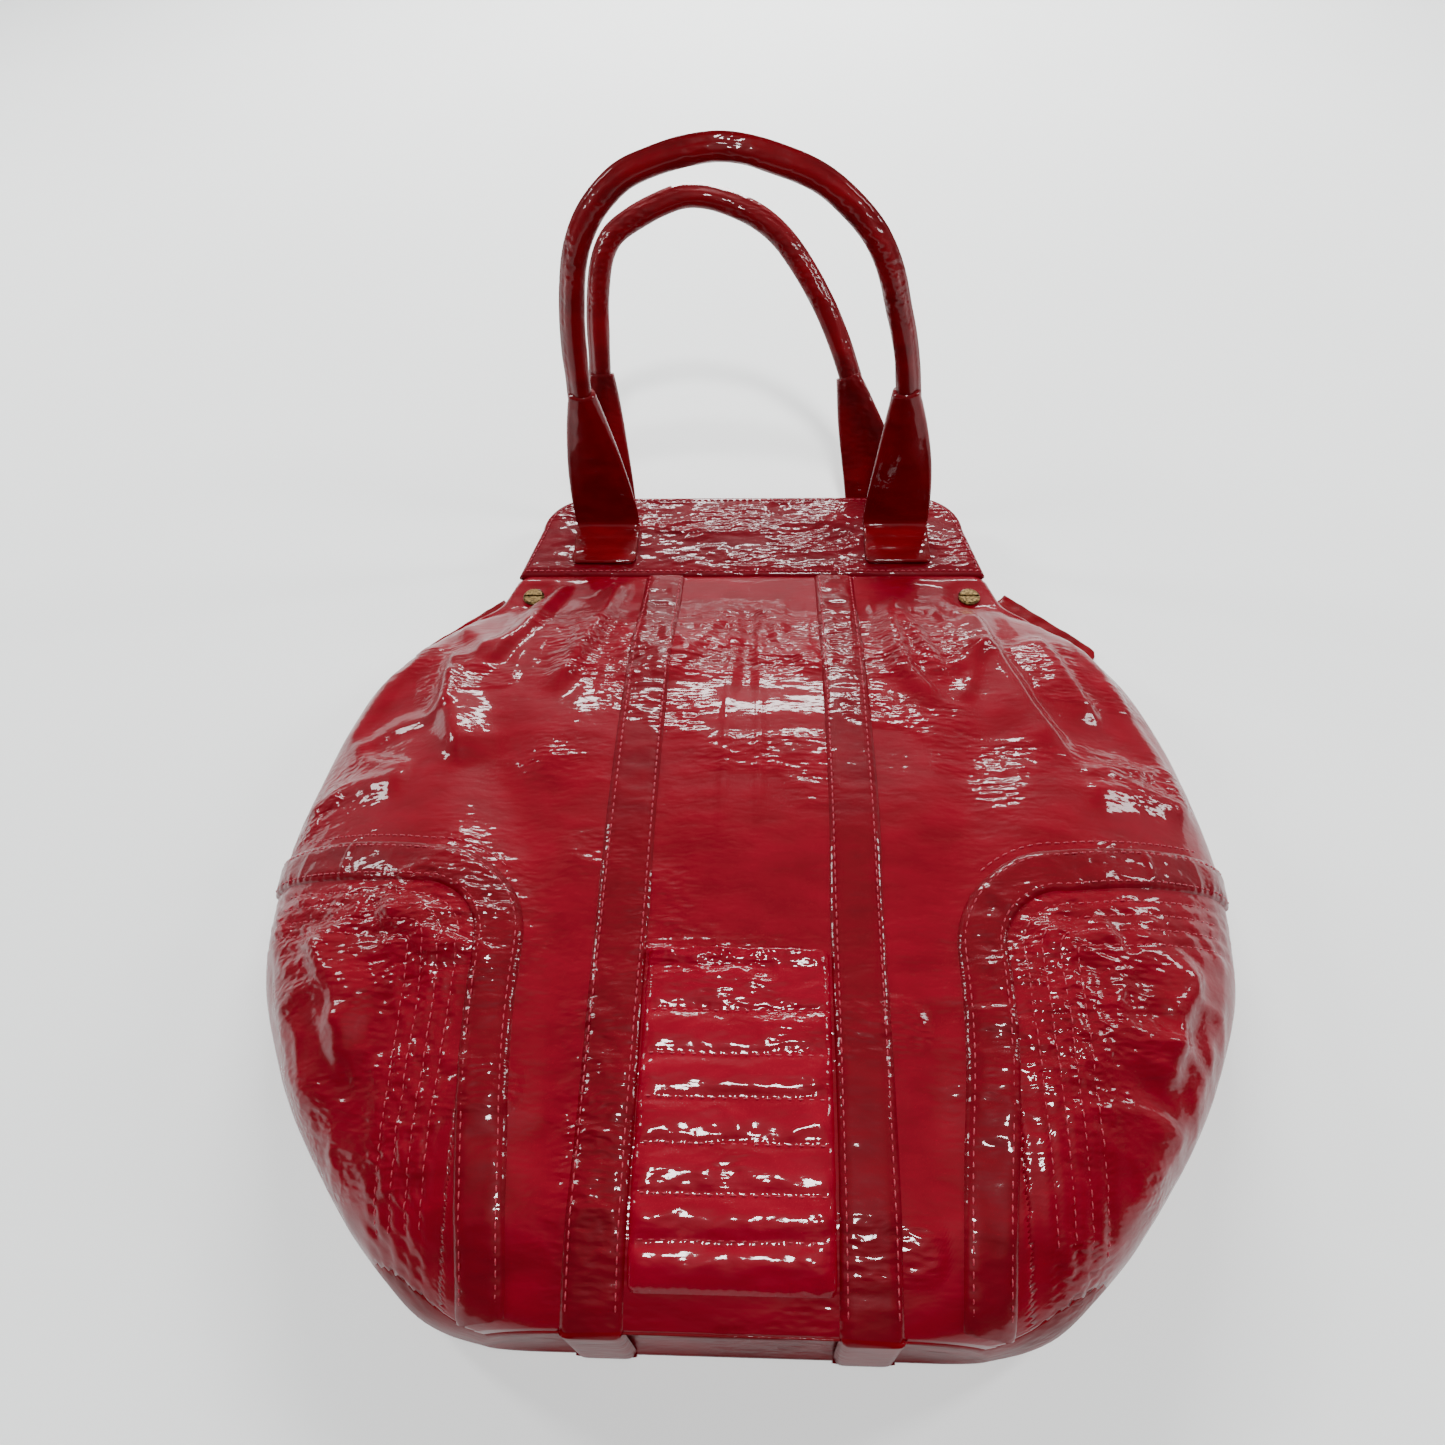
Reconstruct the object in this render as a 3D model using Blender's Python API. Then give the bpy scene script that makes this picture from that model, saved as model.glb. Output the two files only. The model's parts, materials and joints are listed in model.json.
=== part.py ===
"""Frame handbag in crinkled patent leather, lying on its back with both handles up.

X is the bag's width, Y runs from its base to its mouth and Z is up, out of its front.
Every leather piece is cut by its pattern outline from one of three nested bag-shaped
shells: the lining, the body leather, and the straps and bands sewn on top of it.
"""

import math

import bmesh
import bpy
import numpy as np
from mathutils import Vector

# Overall sizes, in metres
BODY_LENGTH = 0.388  # base to the seam under the top band
BAND_LENGTH = 0.067  # seam to the top edge
BELLY_HALF_WIDTH = 0.2195
BELLY_DEPTH = 0.066
BASE_HALF_WIDTH = 0.092
BASE_DEPTH = 0.050
BAND_HALF_WIDTH = 0.134
BAND_TOP_HALF_WIDTH = 0.125
BAND_CORNER = 0.028
HANDLE_RISE = 0.210
BACK_HANDLE_RISE = 0.183

# Material thicknesses and the gaps between pieces
LEATHER = 0.0016
BODY_LEATHER = 0.0018
LINING = 0.0012
FACING = 0.0010
GAP = 0.0004
LINING_GAP = 1.5 * GAP
SWING_GAP = 0.0032  # body panels stop this far below the band, clear of the opening frame

# Frame and hinge
FRAME_STEEL = 0.0024
FRAME_WIDTH = 0.009
FRAME_INSET = 0.009  # edge of the band to the middle of the bar
HINGE_HEIGHT = BODY_LENGTH - 0.030
ARM_END_HALF_WIDTH = 0.124
MOUTH = 0.0076  # between the two facings when the frame is shut
LUG_RADIUS = 0.0048
LUG_THICKNESS = 0.002
RIVET_RADIUS = 0.002
RIVET_HEAD_RADIUS = 0.0036
RIVET_HEAD = 0.0013
PIN_CLEARANCE = 0.0003
RUNNING_CLEARANCE = 0.00009  # round the hinge's rivets
WASHER = 0.0007
MAGNET_RADIUS = 0.009
MAGNET = 0.002
MAGNET_HEIGHT = BODY_LENGTH + 0.027

# Screws that clamp the leather to the frame's arms
SCREW_HEIGHT = BODY_LENGTH - 0.018
SCREW_HEAD_RADIUS = 0.006
SCREW_HEAD = 0.0016
SCREW_SHANK_RADIUS = 0.0016
SCREW_SLOT = 0.0013
SCREW_SLOT_DEPTH = 0.0007
POST_RADIUS = 0.0029
POST_FLANGE_RADIUS = 0.0044
POST_FLANGE = 0.0009

# Straps, pocket, bands and patches
STRAP_OFFSET = 0.048  # middle of the bag to the middle of a strap
STRAP_WIDTH = 0.023
POCKET_BOTTOM = 0.012
POCKET_TOP = 0.134
PATCH_SIDE = 0.097  # middle of the bag to the patch
PATCH_TOP = 0.177
PATCH_CORNER = 0.033
CURVED_BAND_WIDTH = 0.020
CURVED_BAND_BOTTOM = 0.006
NOTCH_HALF_WIDTH = 0.096  # the front panel stops here beside the hinge
NOTCH_BOTTOM = BODY_LENGTH - 0.045
LINING_ROWS_SHORT = 2  # the lining stops this many rows of the shells below their top
BOARD_HALF_WIDTH = 0.75 * BASE_HALF_WIDTH
BOARD_DEPTH = 0.5 * BASE_DEPTH
BOARD_THICKNESS = 0.002

# Handles
HANDLE_RADIUS = 0.00575
HANDLE_CORE_RADIUS = 0.0033
TAB_OFFSET = 0.085
TAB_WIDTH = 0.039
TAB_THICKNESS = 0.0032
TAB_LENGTH = 0.084
TAB_FOOT = 0.0022  # the tab starts this far up from its bend
TAB_BOTTOM = BODY_LENGTH + 0.006
FRONT_TAB_BEND = BODY_LENGTH + 0.040
BACK_TAB_BEND = BODY_LENGTH + 0.070
FRONT_HANDLE_LEAN = math.radians(5)
BACK_HANDLE_LEAN = math.radians(28)
BACK_HANDLE_SHIFT = -0.0065  # the back handle's feet stand this far to the left
FRONT_ROUTE = (  # middle line of the front handle, as shares of TAB_OFFSET and of its rise
    (-1.0, 0.0),
    (-1.04, 0.22),
    (-1.06, 0.42),
    (-1.035, 0.64),
    (-0.93, 0.82),
    (-0.66, 0.945),
    (-0.18, 1.0),
    (0.22, 0.965),
    (0.50, 0.90),
    (0.75, 0.78),
    (0.89, 0.61),
    (0.97, 0.45),
    (1.01, 0.22),
    (1.0, 0.0),
)
BACK_ROUTE = (
    (-1.0, 0.0),
    (-1.0, 0.23),
    (-0.975, 0.46),
    (-0.96, 0.70),
    (-0.89, 0.85),
    (-0.72, 0.925),
    (-0.36, 0.99),
    (-0.03, 0.962),
    (0.265, 0.875),
    (0.535, 0.695),
    (0.72, 0.50),
    (0.83, 0.33),
    (0.94, 0.15),
    (1.0, 0.0),
)

# Shoulder tabs, in the body's back outline
SIDE_TAB_INNER = (0.146, BODY_LENGTH - 0.026)
SIDE_TAB_OUTER = (0.182, BODY_LENGTH - 0.060)
SIDE_TAB_WIDTH = 0.026
SIDE_TAB_CORNER = 0.011
SIDE_TAB_SHIFTS = {"left": (0.0, 0.0), "right": (0.006, 0.009)}  # the right one stands out further

# Mesh fineness
ROUND_STEPS = 32
ARC_STEPS = 5
TURNED_STEPS = 12
SCREW_STEPS = 16
TAB_ROWS = 7
HANDLE_ROWS = 19
HANDLE_SIDES = 10
CORE_SIDES = 6

# Heights of the layers above the floor, which the straps on the back rest on
FLOOR_TO_BODY = GAP + LEATHER
BAND_TOP = BODY_LENGTH + BAND_LENGTH
BACK_BAND = FLOOR_TO_BODY + 0.0011
BACK_BAR = BACK_BAND + LEATHER + GAP
BACK_FACING = BACK_BAR + FRAME_STEEL + GAP
HINGE_LEVEL = BACK_FACING + FACING + MOUTH / 2
FRONT_FACING = HINGE_LEVEL + MOUTH / 2
FRONT_BAR = FRONT_FACING + FACING + GAP
FRONT_BAND = FRONT_BAR + FRAME_STEEL + GAP
FRONT_ANCHOR = FRONT_BAND + LEATHER + GAP
BACK_ANCHOR = BACK_BAND - GAP - LEATHER
SIDE_SEAM = HINGE_LEVEL
FRONT_HANDLE_LEVEL = FRONT_ANCHOR + LEATHER + GAP
BACK_HANDLE_LEVEL = BACK_ANCHOR + LEATHER / 2
HANDLE_REACH = BACK_HANDLE_RISE * math.sin(BACK_HANDLE_LEAN) + HANDLE_RADIUS
MIDDLE = (BACK_TAB_BEND + HANDLE_REACH - FLOOR_TO_BODY) / 2

BEYOND_ALL = 0.2  # above and below every piece
CORNER_ROWS = (0.0, 0.003, 0.008, 0.018)  # heights of the shells' first rows
ROW_SPACING = 0.031

RED = (0.36, 0.004, 0.012)
DARK_RED = (0.17, 0.003, 0.006)
LINING_RED = (0.10, 0.004, 0.008)
BRASS = (0.16, 0.115, 0.055)
STEEL = (0.55, 0.55, 0.56)
BOARD_GREY = (0.14, 0.13, 0.12)


def clear_scene():
    for item in list(bpy.data.objects):
        bpy.data.objects.remove(item)


def finish_material(name, colour, roughness, metallic=0.0):
    material = bpy.data.materials.new(name)
    material.use_nodes = True
    shader = material.node_tree.nodes["Principled BSDF"]
    shader.inputs["Base Color"].default_value = (*colour, 1.0)
    shader.inputs["Roughness"].default_value = roughness
    shader.inputs["Metallic"].default_value = metallic
    return material


def smooth_curve(points, at):
    """Monotone cubic through (position, value) points, read at one position."""
    xs = np.array([p[0] for p in points])
    ys = np.array([p[1] for p in points])
    steps = np.diff(xs)
    slopes = np.diff(ys) / steps
    tangents = np.zeros(len(xs))
    tangents[0] = slopes[0]
    tangents[-1] = slopes[-1]
    for i in range(1, len(xs) - 1):
        if slopes[i - 1] * slopes[i] > 0:
            tangents[i] = 2 / (1 / slopes[i - 1] + 1 / slopes[i])
    i = int(np.clip(np.searchsorted(xs, at) - 1, 0, len(steps) - 1))
    t = (at - xs[i]) / steps[i]
    start = (1 + 2 * t) * (1 - t) ** 2 * ys[i] + t * (1 - t) ** 2 * steps[i] * tangents[i]
    end = t * t * (3 - 2 * t) * ys[i + 1] + t * t * (t - 1) * steps[i] * tangents[i + 1]
    return float(start + end)


OUTLINE = (
    (0.0, BASE_HALF_WIDTH),
    (0.003, BASE_HALF_WIDTH + 0.014),
    (0.008, BASE_HALF_WIDTH + 0.026),
    (0.018, BASE_HALF_WIDTH + 0.039),
    (0.103 * BODY_LENGTH, 0.70 * BELLY_HALF_WIDTH),
    (0.253 * BODY_LENGTH, 0.89 * BELLY_HALF_WIDTH),
    (0.38 * BODY_LENGTH, 0.98 * BELLY_HALF_WIDTH),
    (0.50 * BODY_LENGTH, BELLY_HALF_WIDTH),
    (0.64 * BODY_LENGTH, 0.975 * BELLY_HALF_WIDTH),
    (0.76 * BODY_LENGTH, 0.925 * BELLY_HALF_WIDTH),
    (0.825 * BODY_LENGTH, 0.865 * BELLY_HALF_WIDTH),
    (0.885 * BODY_LENGTH, 0.775 * BELLY_HALF_WIDTH),
    (0.943 * BODY_LENGTH, BAND_HALF_WIDTH + 0.008),
    (BODY_LENGTH, BAND_HALF_WIDTH),
)
DEPTHS = (
    (0.0, BASE_DEPTH),
    (0.012, 0.84 * BELLY_DEPTH),
    (0.10 * BODY_LENGTH, 0.96 * BELLY_DEPTH),
    (0.26 * BODY_LENGTH, BELLY_DEPTH),
    (0.45 * BODY_LENGTH, BELLY_DEPTH),
    (0.62 * BODY_LENGTH, 0.95 * BELLY_DEPTH),
    (0.77 * BODY_LENGTH, 0.80 * BELLY_DEPTH),
    (0.885 * BODY_LENGTH, 0.58 * BELLY_DEPTH),
    (BODY_LENGTH, FRONT_BAND + LEATHER - FLOOR_TO_BODY),
)
CROWNS = (  # height up the body, how flat the front is across: 2 is an ellipse
    (0.0, 5.0),
    (0.10 * BODY_LENGTH, 4.2),
    (0.35 * BODY_LENGTH, 3.0),
    (BODY_LENGTH, 3.0),
)
BACK_FLATS = (  # height up the body, share of the half width that lies flat on the floor
    (0.0, 0.80),
    (0.76 * BODY_LENGTH, 0.80),
    (0.88 * BODY_LENGTH, 0.945),
    (BODY_LENGTH, 0.95),
)


def skin_point(height, turn):
    """Point on the body's outer surface: turn 0 is the front's middle, pi the back's."""
    half_width = smooth_curve(OUTLINE, height)
    depth = smooth_curve(DEPTHS, height)
    edge = min(SIDE_SEAM - FLOOR_TO_BODY, 0.45 * depth)
    side = math.sin(turn)
    if math.cos(turn) >= 0:
        crown = smooth_curve(CROWNS, height)
        z = edge + (depth - edge) * math.sqrt(max(0.0, 1 - abs(side) ** crown))
    else:
        flat = smooth_curve(BACK_FLATS, height)
        past = max(0.0, (abs(side) - flat) / (1 - flat))
        z = edge * (1 - math.sqrt(max(0.0, 1 - past * past)))
    return Vector((half_width * side, height - MIDDLE, z + FLOOR_TO_BODY))


def new_mesh(name, points, faces):
    mesh = bpy.data.meshes.new(name)
    mesh.from_pydata([tuple(p) for p in points], [], faces)
    shape = bmesh.new()
    shape.from_mesh(mesh)
    bmesh.ops.recalc_face_normals(shape, faces=shape.faces)
    shape.to_mesh(mesh)
    shape.free()
    return mesh


def add_object(name, mesh, material=None):
    item = bpy.data.objects.new(name, mesh)
    bpy.context.scene.collection.objects.link(item)
    if material:
        mesh.materials.clear()
        mesh.materials.append(material)
        mesh.shade_smooth()
        mesh.set_sharp_from_angle(angle=math.radians(35))
    return item


def shell_mesh(name, inner, outer, rows_short=0):
    """A bag-shaped shell, open at the top, between two distances outside the skin."""
    top = BODY_LENGTH - SWING_GAP
    count = round((top - CORNER_ROWS[-1]) / ROW_SPACING)
    rows = list(CORNER_ROWS) + list(np.linspace(CORNER_ROWS[-1], top, count + 1)[1:])
    rows = rows[:len(rows) - rows_short]
    turns = [2 * math.pi * i / ROUND_STEPS for i in range(ROUND_STEPS)]
    skin = bmesh.new()
    for height in rows:
        for turn in turns:
            skin.verts.new(skin_point(height, turn))
    skin.verts.ensure_lookup_table()
    sides = []  # triangles split the same way in every shell, so that nested shells stay clear
    for row in range(len(rows) - 1):
        for i in range(ROUND_STEPS):
            j = (i + 1) % ROUND_STEPS
            below = row * ROUND_STEPS
            above = below + ROUND_STEPS
            sides.append((below + i, below + j, above + j))
            sides.append((below + i, above + j, above + i))
    for side in sides:
        skin.faces.new([skin.verts[v] for v in side])
    skin.faces.new([skin.verts[i] for i in reversed(range(ROUND_STEPS))])
    bmesh.ops.recalc_face_normals(skin, faces=skin.faces)
    skin.normal_update()
    offsets = [v.normal * v.calc_shell_factor() for v in skin.verts]
    points = [v.co + o * outer for v, o in zip(skin.verts, offsets)]
    points += [v.co + o * inner for v, o in zip(skin.verts, offsets)]
    skin.free()
    total = len(rows) * ROUND_STEPS
    faces = list(sides)
    faces += [tuple(total + v for v in reversed(side)) for side in sides]
    faces.append(tuple(reversed(range(ROUND_STEPS))))
    faces.append(tuple(total + i for i in range(ROUND_STEPS)))
    rim = total - ROUND_STEPS
    for i in range(ROUND_STEPS):
        j = (i + 1) % ROUND_STEPS
        faces.append((rim + i, rim + j, total + rim + j, total + rim + i))
    return new_mesh(name, points, faces)


def prism_mesh(name, outline, low, high):
    """A plate with a flat outline of (x, height) points between two levels of Z."""
    points = [(x, height - MIDDLE, low) for x, height in outline]
    points += [(x, height - MIDDLE, high) for x, height in outline]
    n = len(outline)
    faces = [tuple(range(n)), tuple(range(2 * n - 1, n - 1, -1))]
    faces += [(i, (i + 1) % n, n + (i + 1) % n, n + i) for i in range(n)]
    return new_mesh(name, points, faces)


def side_plate_mesh(name, outline, start, end):
    """A plate with an outline of (height, z) points, between two values of X."""
    points = [(start, height - MIDDLE, z) for height, z in outline]
    points += [(end, height - MIDDLE, z) for height, z in outline]
    n = len(outline)
    faces = [tuple(range(n)), tuple(range(2 * n - 1, n - 1, -1))]
    faces += [(i, (i + 1) % n, n + (i + 1) % n, n + i) for i in range(n)]
    return new_mesh(name, points, faces)


def cutter(name, mesh):
    item = add_object(name, mesh)
    item.hide_render = True
    item.display_type = "WIRE"
    return item


def boolean(item, other, operation):
    modifier = item.modifiers.new(operation.lower(), "BOOLEAN")
    modifier.operation = operation
    modifier.object = other
    modifier.solver = "EXACT"
    return modifier


def cut_piece(name, shell, outline, material, low=-BEYOND_ALL, high=BEYOND_ALL):
    """The part of a shell inside a pattern outline."""
    item = add_object(name, shell.copy(), material)
    pattern = prism_mesh(name + "_pattern", outline, low, high)
    boolean(item, cutter(name + "_pattern", pattern), "INTERSECT")
    return item


def arc(centre, radius, start, end, steps=ARC_STEPS):
    """Points of an arc, with its angles in degrees."""
    angles = [math.radians(start + (end - start) * i / steps) for i in range(steps + 1)]
    return [(centre[0] + radius * math.cos(a), centre[1] + radius * math.sin(a)) for a in angles]


def mirrored(outline, side):
    return [(side * x, height) for x, height in outline]


def box_outline(left, right, bottom, top):
    return [(left, bottom), (right, bottom), (right, top), (left, top)]


def lathe_mesh(name, profile, centre, direction, steps=TURNED_STEPS):
    """A turned piece: (radius, distance) points from the axis's start to its end."""
    along = Vector(direction).normalized()
    across = along.orthogonal().normalized()
    third = along.cross(across)
    shape = bmesh.new()
    rings = []
    for radius, distance in profile:
        base = Vector(centre) + along * distance
        if radius == 0:
            rings.append([shape.verts.new(base)])
            continue
        ring = []
        for i in range(steps):
            a = 2 * math.pi * i / steps
            ring.append(shape.verts.new(base + (across * math.cos(a) + third * math.sin(a)) * radius))
        rings.append(ring)
    closed = profile[0][0] > 0
    pairs = list(zip(rings, rings[1:]))
    if closed:
        pairs.append((rings[-1], rings[0]))
    for low, high in pairs:
        for i in range(steps):
            j = (i + 1) % steps
            corners = [low[i % len(low)], low[j % len(low)], high[j % len(high)], high[i % len(high)]]
            unique = list(dict.fromkeys(corners))
            shape.faces.new(unique)
    bmesh.ops.recalc_face_normals(shape, faces=shape.faces)
    mesh = bpy.data.meshes.new(name)
    shape.to_mesh(mesh)
    shape.free()
    return mesh


def make_shells():
    lining = -BODY_LEATHER - LINING_GAP
    return {
        "body": shell_mesh("body_shell", -BODY_LEATHER, 0.0),
        "overlay": shell_mesh("overlay_shell", GAP, GAP + LEATHER),
        "lining": shell_mesh("lining_shell", lining - LINING, lining, LINING_ROWS_SHORT),
    }


def patch_outline(grow, bottom=2 * LEATHER):
    """The D of a side patch, grown outwards over its neighbours by a distance."""
    side = PATCH_SIDE - grow
    top = PATCH_TOP + grow
    corner = PATCH_CORNER + grow
    outline = [(side, bottom)]
    outline += arc((side + corner, top - corner), corner, 180, 90)
    outline += [(2 * BELLY_HALF_WIDTH, top), (2 * BELLY_HALF_WIDTH, bottom)]
    return outline


def make_body(shells, leather, base_leather, lining_cloth):
    body = shells["body"]
    overlay = shells["overlay"]
    seam = GAP / 2
    base_seam = 2 * LEATHER
    wide = 2 * BELLY_HALF_WIDTH
    front_low = SIDE_SEAM + seam
    back_high = SIDE_SEAM - seam
    below = -0.1
    top = 2 * BAND_TOP
    cut_piece("base_panel", body, box_outline(-wide, wide, below, base_seam - GAP), base_leather)
    centre = box_outline(seam - STRAP_OFFSET, STRAP_OFFSET - seam, base_seam, top)
    cut_piece("front_center_panel", body, centre, leather, low=front_low)
    cut_piece("back_center_panel", body, centre, leather, high=back_high)
    patch = patch_outline(0.0)
    beyond = patch_outline(GAP)
    for side, word in ((-1, "left"), (1, "right")):
        around = [(STRAP_OFFSET + seam, base_seam)] + beyond[:-2] + [(wide, PATCH_TOP + GAP)]
        front = around + [(wide, NOTCH_BOTTOM), (NOTCH_HALF_WIDTH, NOTCH_BOTTOM)]
        front += [(NOTCH_HALF_WIDTH, top), (STRAP_OFFSET + seam, top)]
        front = mirrored(front, side)
        cut_piece(f"front_side_panel_{word}", body, front, leather, low=front_low)
        back = mirrored(around + [(wide, top), (STRAP_OFFSET + seam, top)], side)
        panel = cut_piece(f"back_side_panel_{word}", body, back, leather, high=back_high)
        boolean(panel, post_hole(f"back_panel_hole_{word}", side), "DIFFERENCE")
        cut_piece(f"quilted_patch_{word}", body, mirrored(patch, side), leather)
        outer = patch_outline(CURVED_BAND_WIDTH / 2, CURVED_BAND_BOTTOM)
        inner = patch_outline(-CURVED_BAND_WIDTH / 2, CURVED_BAND_BOTTOM)
        band = mirrored(outer[:-1] + list(reversed(inner[:-1])), side)
        cut_piece(f"curved_band_{word}", overlay, band, leather)
        inner_edge = STRAP_OFFSET - STRAP_WIDTH / 2
        strap = box_outline(inner_edge, STRAP_OFFSET + STRAP_WIDTH / 2, below, top)
        cut_piece(f"strap_{word}", overlay, mirrored(strap, side), leather)
    pocket_side = STRAP_OFFSET - STRAP_WIDTH / 2 - GAP
    pocket = box_outline(-pocket_side, pocket_side, POCKET_BOTTOM, POCKET_TOP)
    cut_piece("front_pocket", overlay, pocket, leather, low=front_low)
    add_object("lining", shells["lining"], lining_cloth)


def make_base_board(material):
    inside = BODY_LEATHER + GAP + LINING + GAP
    middle = FLOOR_TO_BODY + BASE_DEPTH / 2
    outline = box_outline(-BOARD_HALF_WIDTH, BOARD_HALF_WIDTH, inside, inside + BOARD_THICKNESS)
    low = middle - BOARD_DEPTH / 2
    add_object("base_board", prism_mesh("base_board", outline, low, low + BOARD_DEPTH), material)


def band_outline(inset, bottom):
    """Outline of the top band, or of a piece set in from its edge."""
    corner = BAND_CORNER - inset
    side = BAND_TOP_HALF_WIDTH - inset
    top = BAND_TOP - inset
    right = arc((side - corner, top - corner), corner, 0, 90)
    left = arc((corner - side, top - corner), corner, 90, 180)
    low = BAND_HALF_WIDTH - inset
    return [(-low, bottom), (low, bottom)] + right + left


def arm_x(height):
    """Middle of the frame's arm, from its corner down to the hinge."""
    corner_height = BAND_TOP - BAND_CORNER
    share = (corner_height - height) / (corner_height - HINGE_HEIGHT)
    top_x = BAND_TOP_HALF_WIDTH - FRAME_INSET
    return top_x + (ARM_END_HALF_WIDTH - top_x) * share


def frame_outline():
    end = HINGE_HEIGHT - LUG_RADIUS - 0.001
    half = FRAME_WIDTH / 2
    edges = []
    for inset in (FRAME_INSET - half, FRAME_INSET + half):
        corner = BAND_CORNER - inset
        side = BAND_TOP_HALF_WIDTH - inset
        top = BAND_TOP - inset
        foot = arm_x(end) + FRAME_INSET - inset
        right = [(foot, end)] + arc((side - corner, top - corner), corner, 0, 90)
        left = arc((corner - side, top - corner), corner, 90, 180) + [(-foot, end)]
        edges.append(right + left)
    return edges[0] + list(reversed(edges[1]))


def post_hole(name, side):
    centre = (side * arm_x(SCREW_HEIGHT), SCREW_HEIGHT - MIDDLE, -0.01)
    profile = [(0, 0), (POST_RADIUS + PIN_CLEARANCE, 0), (POST_RADIUS + PIN_CLEARANCE, 0.06), (0, 0.06)]
    return cutter(name, lathe_mesh(name, profile, centre, (0, 0, 1)))


def lug_outline(towards):
    """Round-ended tongue from the hinge to the bar; towards is 1 for the front bar."""
    reach = FRONT_BAR - HINGE_LEVEL + FRAME_STEEL / 2
    start = 180 if towards > 0 else 0
    ends = [(HINGE_HEIGHT + towards * LUG_RADIUS, HINGE_LEVEL + towards * reach),
            (HINGE_HEIGHT - towards * LUG_RADIUS, HINGE_LEVEL + towards * reach)]
    return arc((HINGE_HEIGHT, HINGE_LEVEL), LUG_RADIUS, start, start + 180, 10) + ends


def make_frame(name, low, towards, lug_start, material):
    bar = add_object(name, prism_mesh(name, frame_outline(), low, low + FRAME_STEEL), material)
    for side, word in ((-1, "left"), (1, "right")):
        ends = (side * lug_start, side * (lug_start + LUG_THICKNESS))
        lug = side_plate_mesh(f"{name}_lug_{word}", lug_outline(towards), *ends)
        boolean(bar, cutter(f"{name}_lug_{word}", lug), "UNION")
    for side, word in ((-1, "left"), (1, "right")):
        radius = RIVET_RADIUS + RUNNING_CLEARANCE
        profile = [(0, 0), (radius, 0), (radius, 0.02), (0, 0.02)]
        centre = (side * (ARM_END_HALF_WIDTH - 0.008), HINGE_HEIGHT - MIDDLE, HINGE_LEVEL)
        hole = lathe_mesh(f"{name}_eye_{word}", profile, centre, (side, 0, 0))
        boolean(bar, cutter(f"{name}_eye_{word}", hole), "DIFFERENCE")
        boolean(bar, post_hole(f"{name}_hole_{word}", side), "DIFFERENCE")
    return bar


def make_hinges(steel, brass):
    back_lug = ARM_END_HALF_WIDTH - 0.0014
    front_lug = back_lug + LUG_THICKNESS + GAP
    washer_start = front_lug + LUG_THICKNESS + GAP
    far_head = washer_start + WASHER + GAP
    near_head = back_lug - GAP - RIVET_HEAD
    make_frame("frame_bar_back", BACK_BAR, -1, back_lug, steel)
    make_frame("frame_bar_front", FRONT_BAR, 1, front_lug, steel)
    for side, word in ((-1, "left"), (1, "right")):
        at = (0, HINGE_HEIGHT - MIDDLE, HINGE_LEVEL)
        near = [(0, near_head), (RIVET_HEAD_RADIUS, near_head),
                (RIVET_HEAD_RADIUS, near_head + RIVET_HEAD), (RIVET_RADIUS, near_head + RIVET_HEAD)]
        far = [(RIVET_RADIUS, far_head), (RIVET_HEAD_RADIUS, far_head),
               (RIVET_HEAD_RADIUS, far_head + RIVET_HEAD), (0, far_head + RIVET_HEAD)]
        name = f"hinge_rivet_{word}"
        add_object(name, lathe_mesh(name, near + far, at, (side, 0, 0)), brass)
        hole = RIVET_RADIUS + PIN_CLEARANCE
        ring = [(hole, washer_start), (LUG_RADIUS, washer_start),
                (LUG_RADIUS, washer_start + WASHER), (hole, washer_start + WASHER)]
        name = f"hinge_washer_{word}"
        add_object(name, lathe_mesh(name, ring, at, (side, 0, 0)), steel)


def make_screw(name, side, outer_face, bar_face, outwards, brass):
    """A slotted screw on the leather's outer face and its post, up from behind the bar."""
    x = side * arm_x(SCREW_HEIGHT)
    y = SCREW_HEIGHT - MIDDLE
    stack = abs(outer_face - bar_face)
    away = (0, 0, outwards)
    head = GAP
    screw = [(0, -stack + 0.001), (SCREW_SHANK_RADIUS, -stack + 0.001), (SCREW_SHANK_RADIUS, head),
             (SCREW_HEAD_RADIUS, head), (SCREW_HEAD_RADIUS, head + 0.5 * SCREW_HEAD),
             (0.85 * SCREW_HEAD_RADIUS, head + SCREW_HEAD), (0, head + SCREW_HEAD)]
    turned = lathe_mesh(f"screw_{name}", screw, (x, y, outer_face), away, SCREW_STEPS)
    item = add_object(f"screw_{name}", turned, brass)
    slot_floor = outer_face + outwards * (head + SCREW_HEAD - SCREW_SLOT_DEPTH)
    slot_end = outer_face + outwards * (head + 2 * SCREW_HEAD)
    half = SCREW_SLOT / 2
    reach = 2 * SCREW_HEAD_RADIUS
    slot = box_outline(x - reach, x + reach, SCREW_HEIGHT - half, SCREW_HEIGHT + half)
    block = prism_mesh(f"slot_{name}", slot, min(slot_floor, slot_end), max(slot_floor, slot_end))
    boolean(item, cutter(f"slot_{name}", block), "DIFFERENCE")
    flange = GAP + POST_FLANGE
    bore = SCREW_SHANK_RADIUS + PIN_CLEARANCE
    post = [(0, -flange), (POST_FLANGE_RADIUS, -flange), (POST_FLANGE_RADIUS, -GAP),
            (POST_RADIUS, -GAP), (POST_RADIUS, stack), (bore, stack), (bore, 0.0006), (0, 0.0006)]
    add_object(f"post_{name}", lathe_mesh(f"post_{name}", post, (x, y, bar_face), away), brass)


def make_screws(brass):
    for side, word in ((-1, "left"), (1, "right")):
        make_screw(f"front_{word}", side, FRONT_BAND + LEATHER, FRONT_BAR, 1, brass)
        make_screw(f"back_{word}", side, FLOOR_TO_BODY, BACK_BAR + FRAME_STEEL, -1, brass)


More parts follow.
